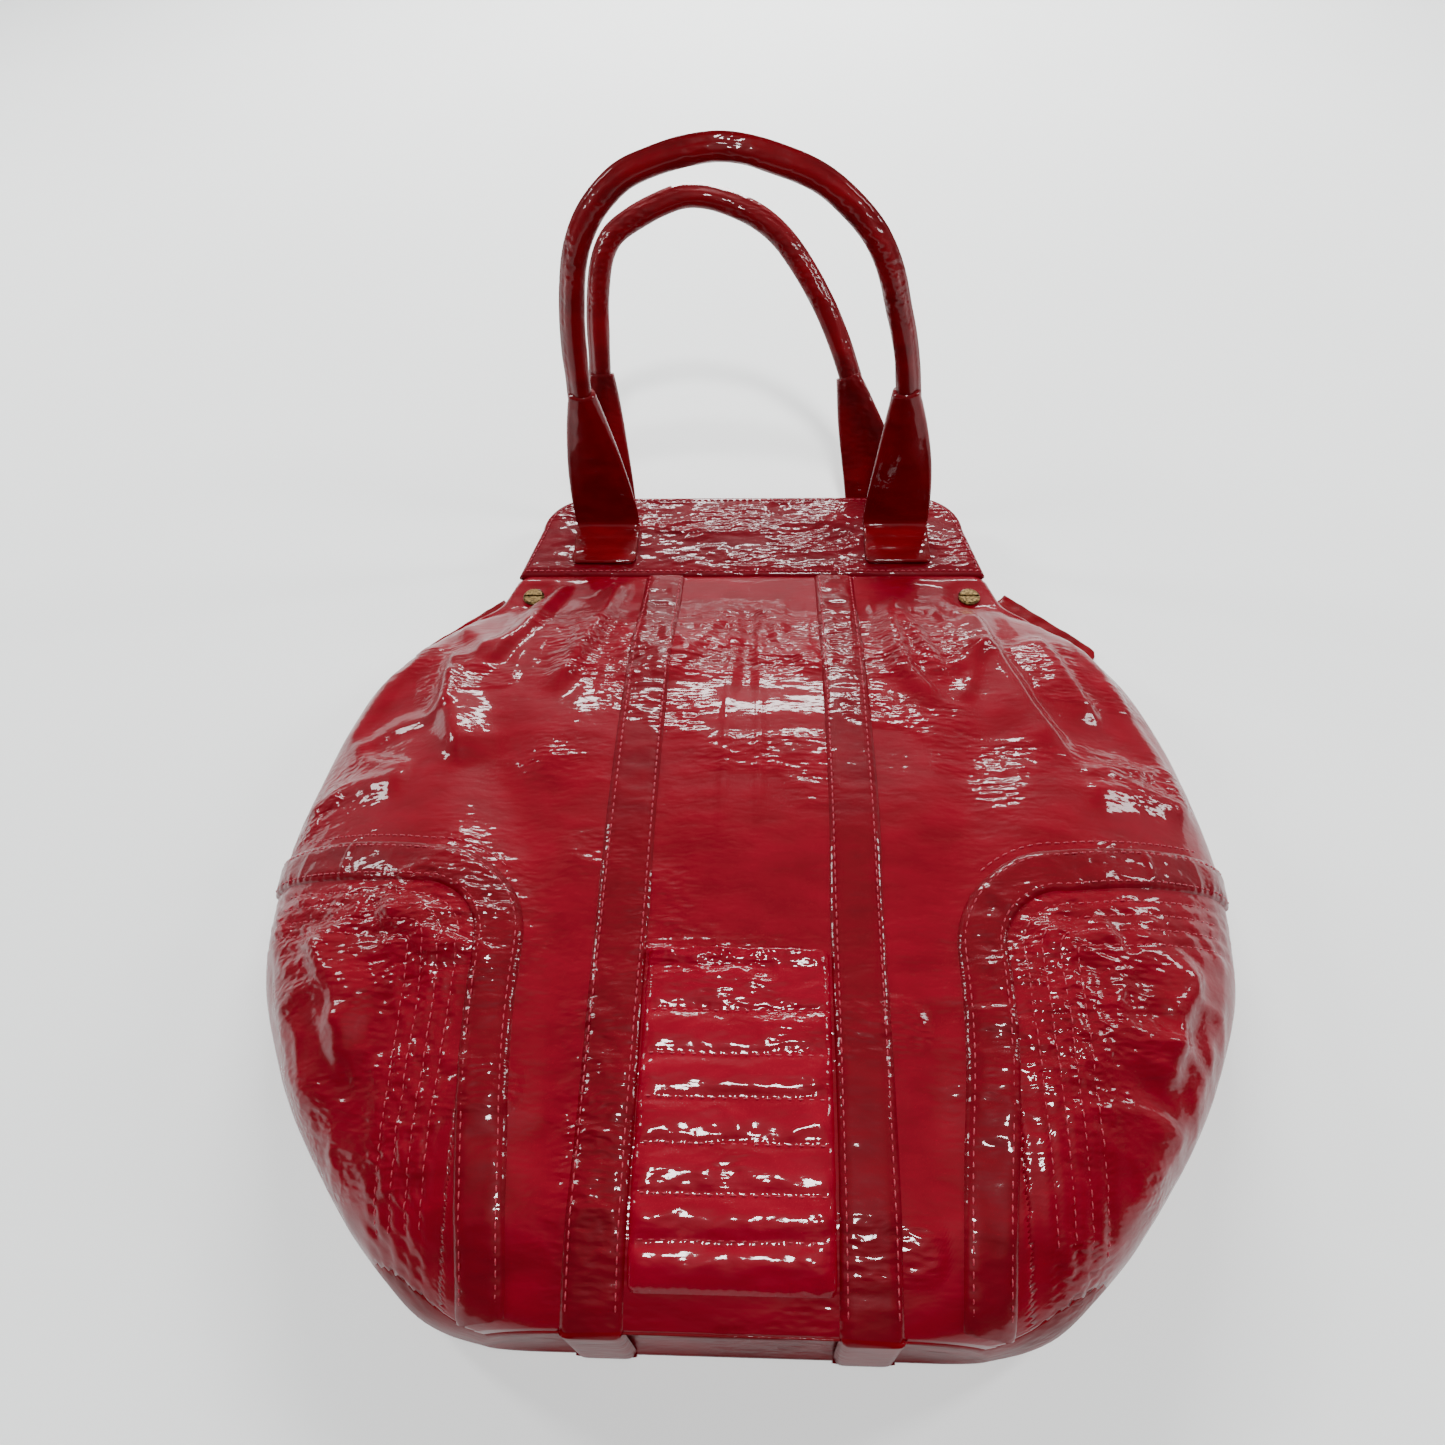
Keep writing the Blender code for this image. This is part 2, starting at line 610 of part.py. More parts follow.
def wing_outline():
    """Front leather over the frame's arm, below the band."""
    top = BODY_LENGTH - GAP
    shoulder = BODY_LENGTH - 0.020
    return [(0.106, top), (0.100, shoulder), (0.112, shoulder - 0.017), (0.128, shoulder - 0.018),
            (0.137, shoulder - 0.011), (BAND_HALF_WIDTH + 0.007, shoulder), (BAND_HALF_WIDTH, top)]


def make_bands(leather, steel):
    def plate(name, outline, low, thickness, material=leather):
        return add_object(name, prism_mesh(name, outline, low, low + thickness), material)

    plate("band_front", band_outline(0, BODY_LENGTH), FRONT_BAND, LEATHER)
    plate("band_back", band_outline(0, BODY_LENGTH), BACK_BAND, LEATHER)
    plate("facing_front", band_outline(0.002, BODY_LENGTH), FRONT_FACING, FACING)
    plate("facing_back", band_outline(0.002, BODY_LENGTH), BACK_FACING, FACING)
    for word, low in (("front", FRONT_BAR), ("back", BACK_BAR)):
        profile = [(0, 0), (MAGNET_RADIUS, 0), (MAGNET_RADIUS, MAGNET), (0, MAGNET)]
        disc = lathe_mesh(f"magnet_{word}", profile, (0, MAGNET_HEIGHT - MIDDLE, low), (0, 0, 1))
        add_object(f"magnet_{word}", disc, steel)
    for side, word in ((-1, "left"), (1, "right")):
        wing = plate(f"front_wing_{word}", mirrored(wing_outline(), side), FRONT_BAND, LEATHER)
        boolean(wing, post_hole(f"wing_hole_{word}", side), "DIFFERENCE")


def anchor_outline(middle, top):
    """The flat, stitched foot of a handle tab."""
    left = middle - TAB_WIDTH / 2
    right = middle + TAB_WIDTH / 2
    corner = 0.004
    bottom = arc((left + corner, TAB_BOTTOM + corner), corner, 180, 270, 3)
    bottom += arc((right - corner, TAB_BOTTOM + corner), corner, 270, 360, 3)
    return bottom + [(right, top), (left, top)]


def handle_route(shares, rise, shift):
    """The handle's middle line as (x, rise) points, from its left foot to its right."""
    return [(shift + x * TAB_OFFSET, up * rise) for x, up in shares]


def smooth_route(points, steps=12):
    """A Catmull-Rom curve through the points, as an array."""
    p = np.array(points, float)
    p = np.vstack([2 * p[0] - p[1], p, 2 * p[-1] - p[-2]])
    out = []
    for i in range(1, len(p) - 2):
        for t in np.arange(steps) / steps:
            a = 2 * p[i]
            b = p[i + 1] - p[i - 1]
            c = 2 * p[i - 1] - 5 * p[i] + 4 * p[i + 1] - p[i + 2]
            d = 3 * p[i] - p[i - 1] - 3 * p[i + 1] + p[i + 2]
            out.append((a + b * t + c * t * t + d * t ** 3) / 2)
    out.append(p[-2])
    return np.array(out)


def route_frames(route, distances, bend, level, lean):
    """Places and directions along a handle that stands on its bend line."""
    steps = np.linalg.norm(np.diff(route, axis=0), axis=1)
    length = np.concatenate([[0], np.cumsum(steps)])
    up = Vector((0, math.sin(lean), math.cos(lean)))
    out = []
    for distance in distances:
        place = [float(np.interp(distance, length, route[:, k])) for k in (0, 1)]
        ahead = [float(np.interp(distance + 0.002, length, route[:, k])) for k in (0, 1)]
        behind = [float(np.interp(distance - 0.002, length, route[:, k])) for k in (0, 1)]
        tangent = Vector((ahead[0] - behind[0], 0, 0)) + up * (ahead[1] - behind[1])
        tangent.normalize()
        normal = Vector((1, 0, 0)).cross(up).normalized()
        across = tangent.cross(normal).normalized()
        centre = Vector((place[0], bend - MIDDLE, level)) + up * place[1]
        out.append((centre, across, normal))
    return out


def sweep_mesh(name, frames, sizes, sides, hollow=None):
    """A loft of round-cornered sections; hollow is the radius of a bore right through."""
    shape = bmesh.new()

    def ring(frame, half_width, half_thickness):
        centre, across, normal = frame
        verts = []
        for i in range(sides):
            a = 2 * math.pi * (i + 0.5) / sides
            verts.append(shape.verts.new(centre + across * (half_width * math.cos(a))
                                         + normal * (half_thickness * math.sin(a))))
        return verts

    def bridge(first, second):
        for i in range(sides):
            j = (i + 1) % sides
            shape.faces.new([first[i], first[j], second[j], second[i]])

    outer = [ring(frame, *size) for frame, size in zip(frames, sizes)]
    for first, second in zip(outer, outer[1:]):
        bridge(first, second)
    if hollow is None:
        shape.faces.new(list(reversed(outer[0])))
        shape.faces.new(outer[-1])
    else:
        inner = [ring(frame, hollow, hollow) for frame in frames]
        for first, second in zip(inner, inner[1:]):
            bridge(second, first)
        bridge(inner[0], outer[0])
        bridge(outer[-1], inner[-1])
    bmesh.ops.recalc_face_normals(shape, faces=shape.faces)
    mesh = bpy.data.meshes.new(name)
    shape.to_mesh(mesh)
    shape.free()
    return mesh


def tab_size(share):
    """Half width and half thickness of a handle tab, from its bend to its leaf tip."""
    straight = 0.5
    taper = max(0.0, (share - straight) / (1 - straight))
    ease = 0.5 - 0.5 * math.cos(math.pi * taper)
    half_width = (TAB_WIDTH / 2) * (1 - ease) + 1.1 * HANDLE_RADIUS * ease
    half_thickness = (TAB_THICKNESS / 2) * (1 - ease) + 0.8 * HANDLE_RADIUS * ease
    return half_width, half_thickness


def make_handle(word, route, bend, level, lean, leather, core):
    route = smooth_route(route)
    length = float(np.linalg.norm(np.diff(route, axis=0), axis=1).sum())
    shares = np.linspace(0, 1, TAB_ROWS)
    for side in ("left", "right"):
        run = [TAB_FOOT + s * (TAB_LENGTH - TAB_FOOT) for s in shares]
        if side == "right":
            run = [length - d for d in run]
        frames = route_frames(route, run, bend, level, lean)
        name = f"{word}_handle_tab_{side}"
        tab = sweep_mesh(name, frames, [tab_size(s) for s in shares], HANDLE_SIDES)
        add_object(name, tab, leather)
    start = TAB_LENGTH + GAP
    run = np.linspace(start, length - start, HANDLE_ROWS)
    frames = route_frames(route, run, bend, level, lean)
    name = f"{word}_handle_cover"
    sizes = [(HANDLE_RADIUS, HANDLE_RADIUS)] * len(run)
    bore = HANDLE_CORE_RADIUS + 2 * PIN_CLEARANCE
    add_object(name, sweep_mesh(name, frames, sizes, HANDLE_SIDES, hollow=bore), leather)
    name = f"{word}_handle_core"
    sizes = [(HANDLE_CORE_RADIUS, HANDLE_CORE_RADIUS)] * len(run)
    add_object(name, sweep_mesh(name, frames, sizes, CORE_SIDES), core)


def make_handles(leather, core):
    front = handle_route(FRONT_ROUTE, HANDLE_RISE, 0.0)
    make_handle("front", front, FRONT_TAB_BEND, FRONT_HANDLE_LEVEL, FRONT_HANDLE_LEAN, leather, core)
    back = handle_route(BACK_ROUTE, BACK_HANDLE_RISE, BACK_HANDLE_SHIFT)
    make_handle("back", back, BACK_TAB_BEND, BACK_HANDLE_LEVEL, BACK_HANDLE_LEAN, leather, core)
    feet = (("front", FRONT_ANCHOR, FRONT_TAB_BEND, 0.0),
            ("back", BACK_ANCHOR, BACK_TAB_BEND, BACK_HANDLE_SHIFT))
    for side, word in ((-1, "left"), (1, "right")):
        for face, low, bend, shift in feet:
            name = f"{face}_handle_anchor_{word}"
            outline = anchor_outline(side * TAB_OFFSET + shift, bend - 0.002)
            add_object(name, prism_mesh(name, outline, low, low + LEATHER), leather)


def make_side_tabs(leather):
    inner = Vector((*SIDE_TAB_INNER, 0))
    along = Vector((*SIDE_TAB_OUTER, 0)) - inner
    length = along.length
    along.normalize()
    out = Vector((-along.y, along.x, 0))
    flat = [(0, 0), (length, 0)]
    flat += arc((length - SIDE_TAB_CORNER, SIDE_TAB_WIDTH - SIDE_TAB_CORNER), SIDE_TAB_CORNER, 0, 90)
    flat += arc((SIDE_TAB_CORNER, SIDE_TAB_WIDTH - SIDE_TAB_CORNER), SIDE_TAB_CORNER, 90, 180)
    outline = [inner + along * a + out * b for a, b in flat]
    for side, word in ((-1, "left"), (1, "right")):
        name = f"side_tab_{word}"
        shift_x, shift_height = SIDE_TAB_SHIFTS[word]
        points = mirrored([(p.x + shift_x, p.y + shift_height) for p in outline], side)
        add_object(name, prism_mesh(name, points, GAP, LEATHER), leather)


def hang(pivot_name, height, x, level, pieces, parent=None):
    """Parents moving pieces to an empty on their joint's axis, and returns the empty."""
    pivot = bpy.data.objects.new(pivot_name, None)
    bpy.context.scene.collection.objects.link(pivot)
    place = Vector((x, height - MIDDLE, level))
    pivot.location = place
    if parent:
        pivot.parent = parent
        pivot.location = place - parent.location
    for name in pieces:
        piece = bpy.data.objects[name]
        piece.parent = pivot
        piece.location = -place
    return pivot


def hang_moving_pieces():
    """Groups each moving piece under the axis it turns about."""
    both = ("left", "right")
    frame = ["frame_bar_front", "band_front", "facing_front", "magnet_front"]
    for side in both:
        frame += [f"front_wing_{side}", f"screw_front_{side}", f"post_front_{side}"]
        frame.append(f"front_handle_anchor_{side}")
    handles = {}
    for word in ("front", "back"):
        handles[word] = [f"{word}_handle_cover", f"{word}_handle_core"]
        handles[word] += [f"{word}_handle_tab_{side}" for side in both]
    hinge = hang("frame_hinge", HINGE_HEIGHT, 0, HINGE_LEVEL, frame)
    hang("front_handle_bend", FRONT_TAB_BEND, 0, FRONT_HANDLE_LEVEL, handles["front"], hinge)
    hang("back_handle_bend", BACK_TAB_BEND, 0, BACK_HANDLE_LEVEL, handles["back"])
    for side, word in ((-1, "left"), (1, "right")):
        shift_x, shift_height = SIDE_TAB_SHIFTS[word]
        x = SIDE_TAB_INNER[0] + shift_x
        height = SIDE_TAB_INNER[1] + shift_height
        hang(f"side_tab_seam_{word}", height, side * x, LEATHER / 2, [f"side_tab_{word}"])


def main():
    clear_scene()
    leather = finish_material("red_patent_leather", RED, 0.16)
    dark = finish_material("dark_patent_leather", DARK_RED, 0.2)
    cloth = finish_material("lining_cloth", LINING_RED, 0.8)
    brass = finish_material("antique_brass", BRASS, 0.35, 1.0)
    steel = finish_material("frame_steel", STEEL, 0.3, 1.0)
    board = finish_material("stiffener_board", BOARD_GREY, 0.9)
    shells = make_shells()
    make_body(shells, leather, dark, cloth)
    make_base_board(board)
    make_bands(leather, steel)
    make_hinges(steel, brass)
    make_screws(brass)
    make_handles(leather, board)
    make_side_tabs(dark)
    hang_moving_pieces()


main()
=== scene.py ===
# %% [markdown]
# # A frame handbag in crinkled patent leather
# The bag lies on its back with both handles up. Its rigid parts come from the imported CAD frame.
# Its leather is soft, so it is made here: one smooth bag-shaped skin, pushed in and out by folds,
# seams and crinkles, and every leather piece is laid on that same skin.

# %% Frame
import json
import math

import bpy
import numpy as np
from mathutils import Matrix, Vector

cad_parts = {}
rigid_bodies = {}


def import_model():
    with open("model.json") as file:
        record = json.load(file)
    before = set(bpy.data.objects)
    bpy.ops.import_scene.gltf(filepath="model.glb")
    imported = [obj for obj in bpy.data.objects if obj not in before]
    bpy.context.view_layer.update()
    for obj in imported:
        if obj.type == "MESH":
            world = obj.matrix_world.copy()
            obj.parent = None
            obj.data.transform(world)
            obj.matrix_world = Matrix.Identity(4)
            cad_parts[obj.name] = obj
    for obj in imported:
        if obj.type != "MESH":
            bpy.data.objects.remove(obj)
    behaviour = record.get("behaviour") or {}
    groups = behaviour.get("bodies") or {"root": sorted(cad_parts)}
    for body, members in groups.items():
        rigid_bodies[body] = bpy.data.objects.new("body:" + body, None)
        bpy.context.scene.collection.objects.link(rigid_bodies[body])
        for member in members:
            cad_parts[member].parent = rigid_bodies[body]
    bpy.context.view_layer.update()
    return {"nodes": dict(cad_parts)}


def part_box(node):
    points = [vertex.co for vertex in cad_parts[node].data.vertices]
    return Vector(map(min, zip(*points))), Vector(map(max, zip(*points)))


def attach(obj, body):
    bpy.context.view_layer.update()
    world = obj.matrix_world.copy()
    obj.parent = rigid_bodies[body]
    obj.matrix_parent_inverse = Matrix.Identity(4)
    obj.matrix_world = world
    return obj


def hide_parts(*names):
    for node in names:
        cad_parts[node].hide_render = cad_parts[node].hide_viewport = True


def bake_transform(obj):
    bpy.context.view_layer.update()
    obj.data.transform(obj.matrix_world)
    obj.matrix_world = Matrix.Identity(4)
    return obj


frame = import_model()

# %% [markdown]
# Sizes are in millimetres, because leatherwork is measured in them. Heights run up the bag from
# its base, so a point on the bag is (x, height, level above the floor). One function turns that
# into the frame's metres. The frame's base panel says where height zero is.

# %% Sizes and the frame's place
MIDDLE = -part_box("base_panel")[0][1] * 1000
BODY = 388.0  # base to top band, along the bag
BAND = 67.0  # height of the top bands
BELLY = 219.5  # half of the widest place
DEPTH = 66.0  # from back to front at the thickest place
BASE = 92.0  # half of the base's width
STRAP_OFFSET = 48.0  # from the middle of the bag to the middle of a strap
STRAP_WIDTH = 23.0
SIDE_LEVEL = 12.7  # the hinges and the sides' middle stand this high above the floor
STITCH = 3.9  # from one stitch to the next


def to_frame(x, height, level):
    return np.stack([x, height - MIDDLE, level], axis=-1) / 1000


print("height zero is at y =", round(-MIDDLE / 1000, 4), "m")

# %% [markdown]
# The outline, the depth and the roundness of the bag's section each change smoothly up the bag.
# A monotone cubic through a few chosen points never overshoots, so it is the curve used.

# %% Curves of the bag's shape
OUTLINE = ((0, BASE), (3, BASE + 14), (8, BASE + 26), (18, BASE + 39), (40, 153.6), (98, 195.4),
           (147.4, 215.1), (194, BELLY), (248.3, 214), (294.9, 203), (320.1, 189.9), (343.4, 170.1),
           (365.9, 142), (BODY, 134))
DEPTHS = ((0, 50), (12, 55.4), (38.8, 63.4), (100.9, DEPTH), (174.6, DEPTH), (240.6, 62.7),
          (298.8, 52.8), (343.4, 38.3), (BODY, 20.3))
CROWNS = ((0, 5.0), (38.8, 4.2), (135.8, 3.0), (BODY, 3.0))
BACK_FLATS = ((0, 0.80), (294.9, 0.80), (341.4, 0.945), (BODY, 0.95))


def curve(points, at):
    """Monotone cubic through (position, value) points."""
    xs = np.array([p[0] for p in points], float)
    ys = np.array([p[1] for p in points], float)
    at = np.clip(at, xs[0], xs[-1])
    steps = np.diff(xs)
    slopes = np.diff(ys) / steps
    tangents = np.zeros(len(xs))
    tangents[0] = slopes[0]
    tangents[-1] = slopes[-1]
    for i in range(1, len(xs) - 1):
        if slopes[i - 1] * slopes[i] > 0:
            tangents[i] = 2 / (1 / slopes[i - 1] + 1 / slopes[i])
    i = np.clip(np.searchsorted(xs, at) - 1, 0, len(steps) - 1)
    t = (at - xs[i]) / steps[i]
    start = (1 + 2 * t) * (1 - t) ** 2 * ys[i] + t * (1 - t) ** 2 * steps[i] * tangents[i]
    end = t * t * (3 - 2 * t) * ys[i + 1] + t * t * (t - 1) * steps[i] * tangents[i + 1]
    return start + end


def smooth(low, high, value):
    """0 below low, 1 above high, eased between."""
    t = np.clip((value - low) / (high - low), 0, 1)
    return t * t * (3 - 2 * t)


SCREW_X = 122.6
SCREW_HEIGHT = 370.0
SEAT_FLAT = 7.5  # the leather is clamped flat to this distance from a screw
SEAT_END = 17.0  # and is free from this one
SEAT_LEVEL = 20.2


def screw_seat(x, height):
    """1 under a front screw's head, easing to 0 a little way round it."""
    away = np.hypot(np.abs(x) - SCREW_X, height - SCREW_HEIGHT)
    return 1 - smooth(SEAT_FLAT, SEAT_END, away)


ARM_LEVEL = 20.8  # the frame's arms hold the shoulders' leather up to this level
ARM_WIDTH = 8.0
ARM_ROUND = 7.0
ARM_FADE = 25.0  # below the arms the leather is let go by this much
ARM_START = 335.0
ARM_FULL = 356.0
UNDER_STRAPS = 2.0  # the straps under the back keep the rest this far off the floor


def skin(height, turn):
    """Bag-shaped surface: turn 0 is the front's middle, +-pi/2 the sides, +-pi the back's middle."""
    half = curve(OUTLINE, height)
    depth = curve(DEPTHS, height)
    edge = np.minimum(SIDE_LEVEL - UNDER_STRAPS, 0.45 * depth)
    side = np.sin(turn)
    away = np.abs(side)
    rise = np.sqrt(np.maximum(0, 1 - away ** curve(CROWNS, height)))
    front = edge + (depth - edge) * rise
    over_arm = np.clip((half * away - (half - ARM_WIDTH)) / ARM_WIDTH, 0, 1)
    arm = ARM_LEVEL - ARM_ROUND * (1 - np.sqrt(1 - over_arm ** 2))
    arm = arm - ARM_FADE * (1 - smooth(ARM_START, ARM_FULL, height))
    front = np.maximum(front, arm)
    seat = screw_seat(half * side, height)
    front = front * (1 - seat) + SEAT_LEVEL * seat
    flat = curve(BACK_FLATS, height)
    past = np.clip((away - flat) / (1 - flat), 0, 1)
    back = edge * (1 - np.sqrt(1 - past ** 2))
    level = np.where(np.cos(turn) >= 0, front, back) + UNDER_STRAPS
    return half * side, height + 0 * turn, level


print("widest place:", 2 * float(curve(OUTLINE, 194.0)), "mm")

# %% [markdown]
# Folds are what make leather read as soft. Each big one is given as a line on the front,
# with a height and a width on either side of it: a ridge with one steep side is a pleat, and a
# negative height is a crease. Value noise at several sizes adds the small wrinkles between them.
# A cloth simulation would round these folds off, so they are drawn straight into the surface.

# %% Noise


def lattice_noise(x, y, seed):
    """Smooth value noise in -1..1 on a unit grid."""
    xi = np.floor(x).astype(np.int64)
    yi = np.floor(y).astype(np.int64)
    u = x - xi
    v = y - yi
    u = u * u * u * (u * (u * 6 - 15) + 10)
    v = v * v * v * (v * (v * 6 - 15) + 10)

    def corner(i, j):  # large odd numbers scramble a grid point into a value that looks random
        n = (i * 374761393 + j * 668265263 + seed * 974711) & 0xFFFFFFFF
        n = ((n ^ (n >> 13)) * 1274126177) & 0xFFFFFFFF
        return ((n ^ (n >> 16)) & 0xFFFF) / 32767.5 - 1

    low = corner(xi, yi) * (1 - u) + corner(xi + 1, yi) * u
    high = corner(xi, yi + 1) * (1 - u) + corner(xi + 1, yi + 1) * u
    return low * (1 - v) + high * v


def creased(x, y, seed):
    """Ridged noise: sharp crests with soft hollows, as stiff leather crumples."""
    first = 1 - 2 * np.abs(lattice_noise(x, y, seed))
    second = 1 - 2 * np.abs(lattice_noise(2.1 * x + 5, 2.1 * y - 3, seed + 1))
    return 0.7 * first + 0.3 * second


print("noise at the origin:", float(lattice_noise(np.zeros(1), np.zeros(1), 1)[0]))

# %% Folds


def along_line(x, h, points):
    """Signed distance to a polyline, and the share of its length that is nearest."""
    best = np.full(np.shape(x), 1e9)
    signed = np.zeros(np.shape(x))
    share = np.zeros(np.shape(x))
    lengths = [math.dist(a, b) for a, b in zip(points, points[1:])]
    done = 0.0
    for (ax, ah), (bx, bh), length in zip(points, points[1:], lengths):
        dx, dh = (bx - ax) / length, (bh - ah) / length
        t = np.clip((x - ax) * dx + (h - ah) * dh, 0, length)
        distance = np.hypot(x - ax - t * dx, h - ah - t * dh)
        nearer = distance < best
        best = np.where(nearer, distance, best)
        cross = (x - ax) * dh - (h - ah) * dx
        signed = np.where(nearer, np.sign(cross) * distance, signed)
        share = np.where(nearer, (done + t) / sum(lengths), share)
        done += length
    return signed, share


# (points, width on the left of the line, width on its right, height), seen going up the line
FRONT_FOLDS = (
    (((-70, 20), (-74, 80), (-80, 140), (-98, 185), (-118, 235), (-138, 275)), 26, 17, -4.2),
    (((-90, 22), (-96, 80), (-104, 140), (-122, 190), (-142, 240), (-152, 285)), 36, 20, 3.2),
    (((72, 25), (80, 90), (90, 150), (104, 215), (118, 275)), 16, 24, -3.6),
    (((96, 25), (104, 90), (112, 150), (128, 215), (138, 262)), 20, 34, 2.8),
    (((-136, 287), (-114, 331), (-103, 384)), 9, 4, 5.0),
    (((-129, 303), (-157, 340)), 6, 8, 3.0),
    (((-94, 267), (-78, 322), (-70, 384)), 9, 4, 5.0),
    (((-143, 262), (-148, 296)), 7, 3, 2.6),
    (((-196, 250), (-172, 262), (-146, 262)), 10, 4, 2.2),
    (((-200, 262), (-182, 240), (-150, 226)), 4, 9, 2.4),
    (((95, 262), (78, 290), (74, 330), (77, 362)), 7, 4, 4.6),
    (((99, 280), (88, 311), (82, 330), (80, 368)), 4, 5, 3.4),
    (((99, 290), (123, 312)), 4, 5, 3.0),
    (((104, 268), (112, 292), (118, 312)), 4, 4, 1.8),
    (((150, 232), (134, 268), (122, 312), (114, 352)), 14, 6, 6.0),
    (((172, 262), (158, 292), (146, 330)), 10, 5, 3.4),
    (((-126, 226), (-146, 268), (-150, 318)), 7, 13, 6.0),
    (((-160, 330), (-186, 292), (-204, 250)), 6, 12, 3.6),
    (((-214, 214), (-186, 224), (-150, 220)), 6, 10, 3.2),
    (((206, 216), (180, 222), (148, 214)), 10, 6, 3.2),
    (((-182, 150), (-160, 120), (-150, 82)), 9, 5, 4.2),
    (((184, 142), (170, 112), (158, 84)), 5, 9, 4.0),
    (((-150, 152), (-128, 146), (-112, 126)), 6, 7, 3.6),
    (((116, 144), (134, 138), (152, 146)), 6, 6, 3.0),
    (((205, 205), (196, 250), (181, 300), (158, 340)), 8, 7, 2.6),
    (((150, 226), (176, 238), (196, 236)), 5, 8, 2.4),
    (((-9, 180), (-7, 366)), 2.0, 2.5, 0.9),
    (((8, 180), (6, 366)), 2.5, 2.0, 0.9),
    (((-44, 276), (-22, 318), (-8, 360)), 11, 5, 2.6),
    (((38, 282), (16, 326), (7, 356)), 5, 10, 2.2),
    (((0, 262), (2, 352)), 5, 6, -1.8),
)


# (x, height, half width, half height, how far out), for both sides
BULGES = ((152, 140, 52, 62, 7.0), (176, 262, 30, 26, -3.0), (96, 330, 24, 26, 2.0))


def bump(x, h, cx, ch, rx, rh, height):
    """A soft round rise centred at (cx, ch)."""
    return height * np.exp(-(((x - cx) / rx) ** 2) - ((h - ch) / rh) ** 2)


def big_folds(x, h):
    """How far the front's leather stands off the smooth skin, in mm."""
    off = np.zeros(np.shape(x))
    for points, left, right, height in FRONT_FOLDS:
        signed, share = along_line(x, h, points)
        width = np.where(signed < 0, left, right)
        ends = smooth(0, 0.18, share) * (1 - smooth(0.82, 1, share))
        off += height * ends * np.exp(-((signed / width) ** 2))
    for side in (-1, 1):
        for out, height, half_width, half_height, rise in BULGES:
            off += bump(x, h, side * out, height, half_width, half_height, rise)
    off += bump(x, h, 0, 345, 70, 22, -2.0)
    return off


print(len(FRONT_FOLDS), "folds placed by hand")

# %% [markdown]
# The side patches are D-shaped. A signed distance to the D's outline gives the place of the
# curved band along it, of the rows of quilting inside it and of the puckers at every stitch row.

# %% The D of a side patch
PATCH_SIDE = 97.0
PATCH_TOP = 172.0
PATCH_CORNER = 36.0
BAND_HALF = 10.0  # half the width of the curved band
CLIMB = 0.18  # how much the D's top rises on its way out
ROWS = (15.5, 22.0, 28.5, 35.0)  # stitch rows, inside the D's outline
QUILT_PITCH = 4.2  # from one pucker to the next


def patch_inside(x, h):
    """Distance inside the D of the nearer side patch, negative outside it."""
    out = np.abs(x)
    top = PATCH_TOP + CLIMB * np.maximum(0, out - PATCH_SIDE - PATCH_CORNER)
    a = PATCH_SIDE + PATCH_CORNER - out
    b = h - (top - PATCH_CORNER)
    reach = np.hypot(np.maximum(a, 0), np.maximum(b, 0)) + np.minimum(np.maximum(a, b), 0)
    return PATCH_CORNER - reach


def quilting(x, h):
    """Grooves along the stitch rows, puffs between them and a crumpled middle."""
    inside = patch_inside(x, h)
    off = np.zeros(np.shape(x))
    run = x * 0.9 + h
    for row in ROWS:
        wander = row + 0.5 * lattice_noise(x / 9, h / 9, 31)
        groove = np.exp(-(((inside - wander) / 1.5) ** 2))
        off -= groove * (0.75 + 0.25 * np.cos(2 * np.pi * run / QUILT_PITCH))
    zone = smooth(11, 14, inside) * (1 - smooth(36, 46, inside))
    off += zone * (0.6 + 0.5 * lattice_noise(run / 3.0, inside / 6, 33))
    middle = smooth(36, 60, inside)
    crumple = creased(x / 26 + 0.2 * h / 26, h / 30, 41)
    off += middle * (3.2 * crumple + 0.35 * creased(x / 10, h / 10, 43))
    return off * smooth(0, 6, inside)


print("quilting rows at", ROWS, "mm inside the patch's outline")

# %% [markdown]
# The clear film on the leather does not crinkle evenly. It is worst across the top, on the side
# patches and low on one strap, and nearly smooth between them. One function says how crinkled a
# place is. It makes the small wrinkles in the mesh, and later it steers the finest ones in the
# material, so that both agree.

# %% Where the film is crinkled
# (x, height, half width, half height, strength)
CRINKLED_PLACES = ((-128, 140, 48, 34, 1.0), (-205, 222, 24, 26, 0.8), (128, 118, 38, 48, 1.0),
                   (178, 232, 30, 14, 0.8), (-49, 60, 16, 52, 0.9), (0, 128, 40, 12, 0.5),
                   (-90, 232, 16, 12, 0.7), (112, 214, 15, 12, 0.7))


def crumpled(x, h):
    """How crinkled the film is, 0 to 1."""
    share = smooth(272, 300, h) * (1 - smooth(330, 348, h)) * (1 - smooth(88, 118, np.abs(x)))
    for place in CRINKLED_PLACES:
        share = share + bump(x, h, *place)
    share = share + smooth(BODY, 396, h) * smooth(-0.25, 0.35, lattice_noise(x / 24 + 4, h / 13, 28))
    share = share + 0.45 * smooth(0.25, 0.6, lattice_noise(x / 31 + 8, h / 26, 29))
    below_band = smooth(345, 360, h) * (1 - smooth(386, 390, h))
    return np.clip(share, 0, 1) * (1 - below_band)


def lean(x, h):
    """Small wrinkles on the front: soft ones everywhere, sharp ones where the film is crinkled."""
    here = crumpled(x, h)
    soft = 1.6 * lattice_noise(x / 42 + 3, h / 50, 3)
    crumple = (0.10 + 0.95 * here) * creased(x / 17 + 0.35 * h / 17, h / 14, 11)
    fine = 0.42 * here * creased(x / 11, h / 5.2, 17)
    near_top = smooth(262, 322, h) * (1 - smooth(346, 366, h))
    gathers = 1.1 * near_top * creased(x / 12, h / 52, 23)
    return soft + crumple + fine + gathers


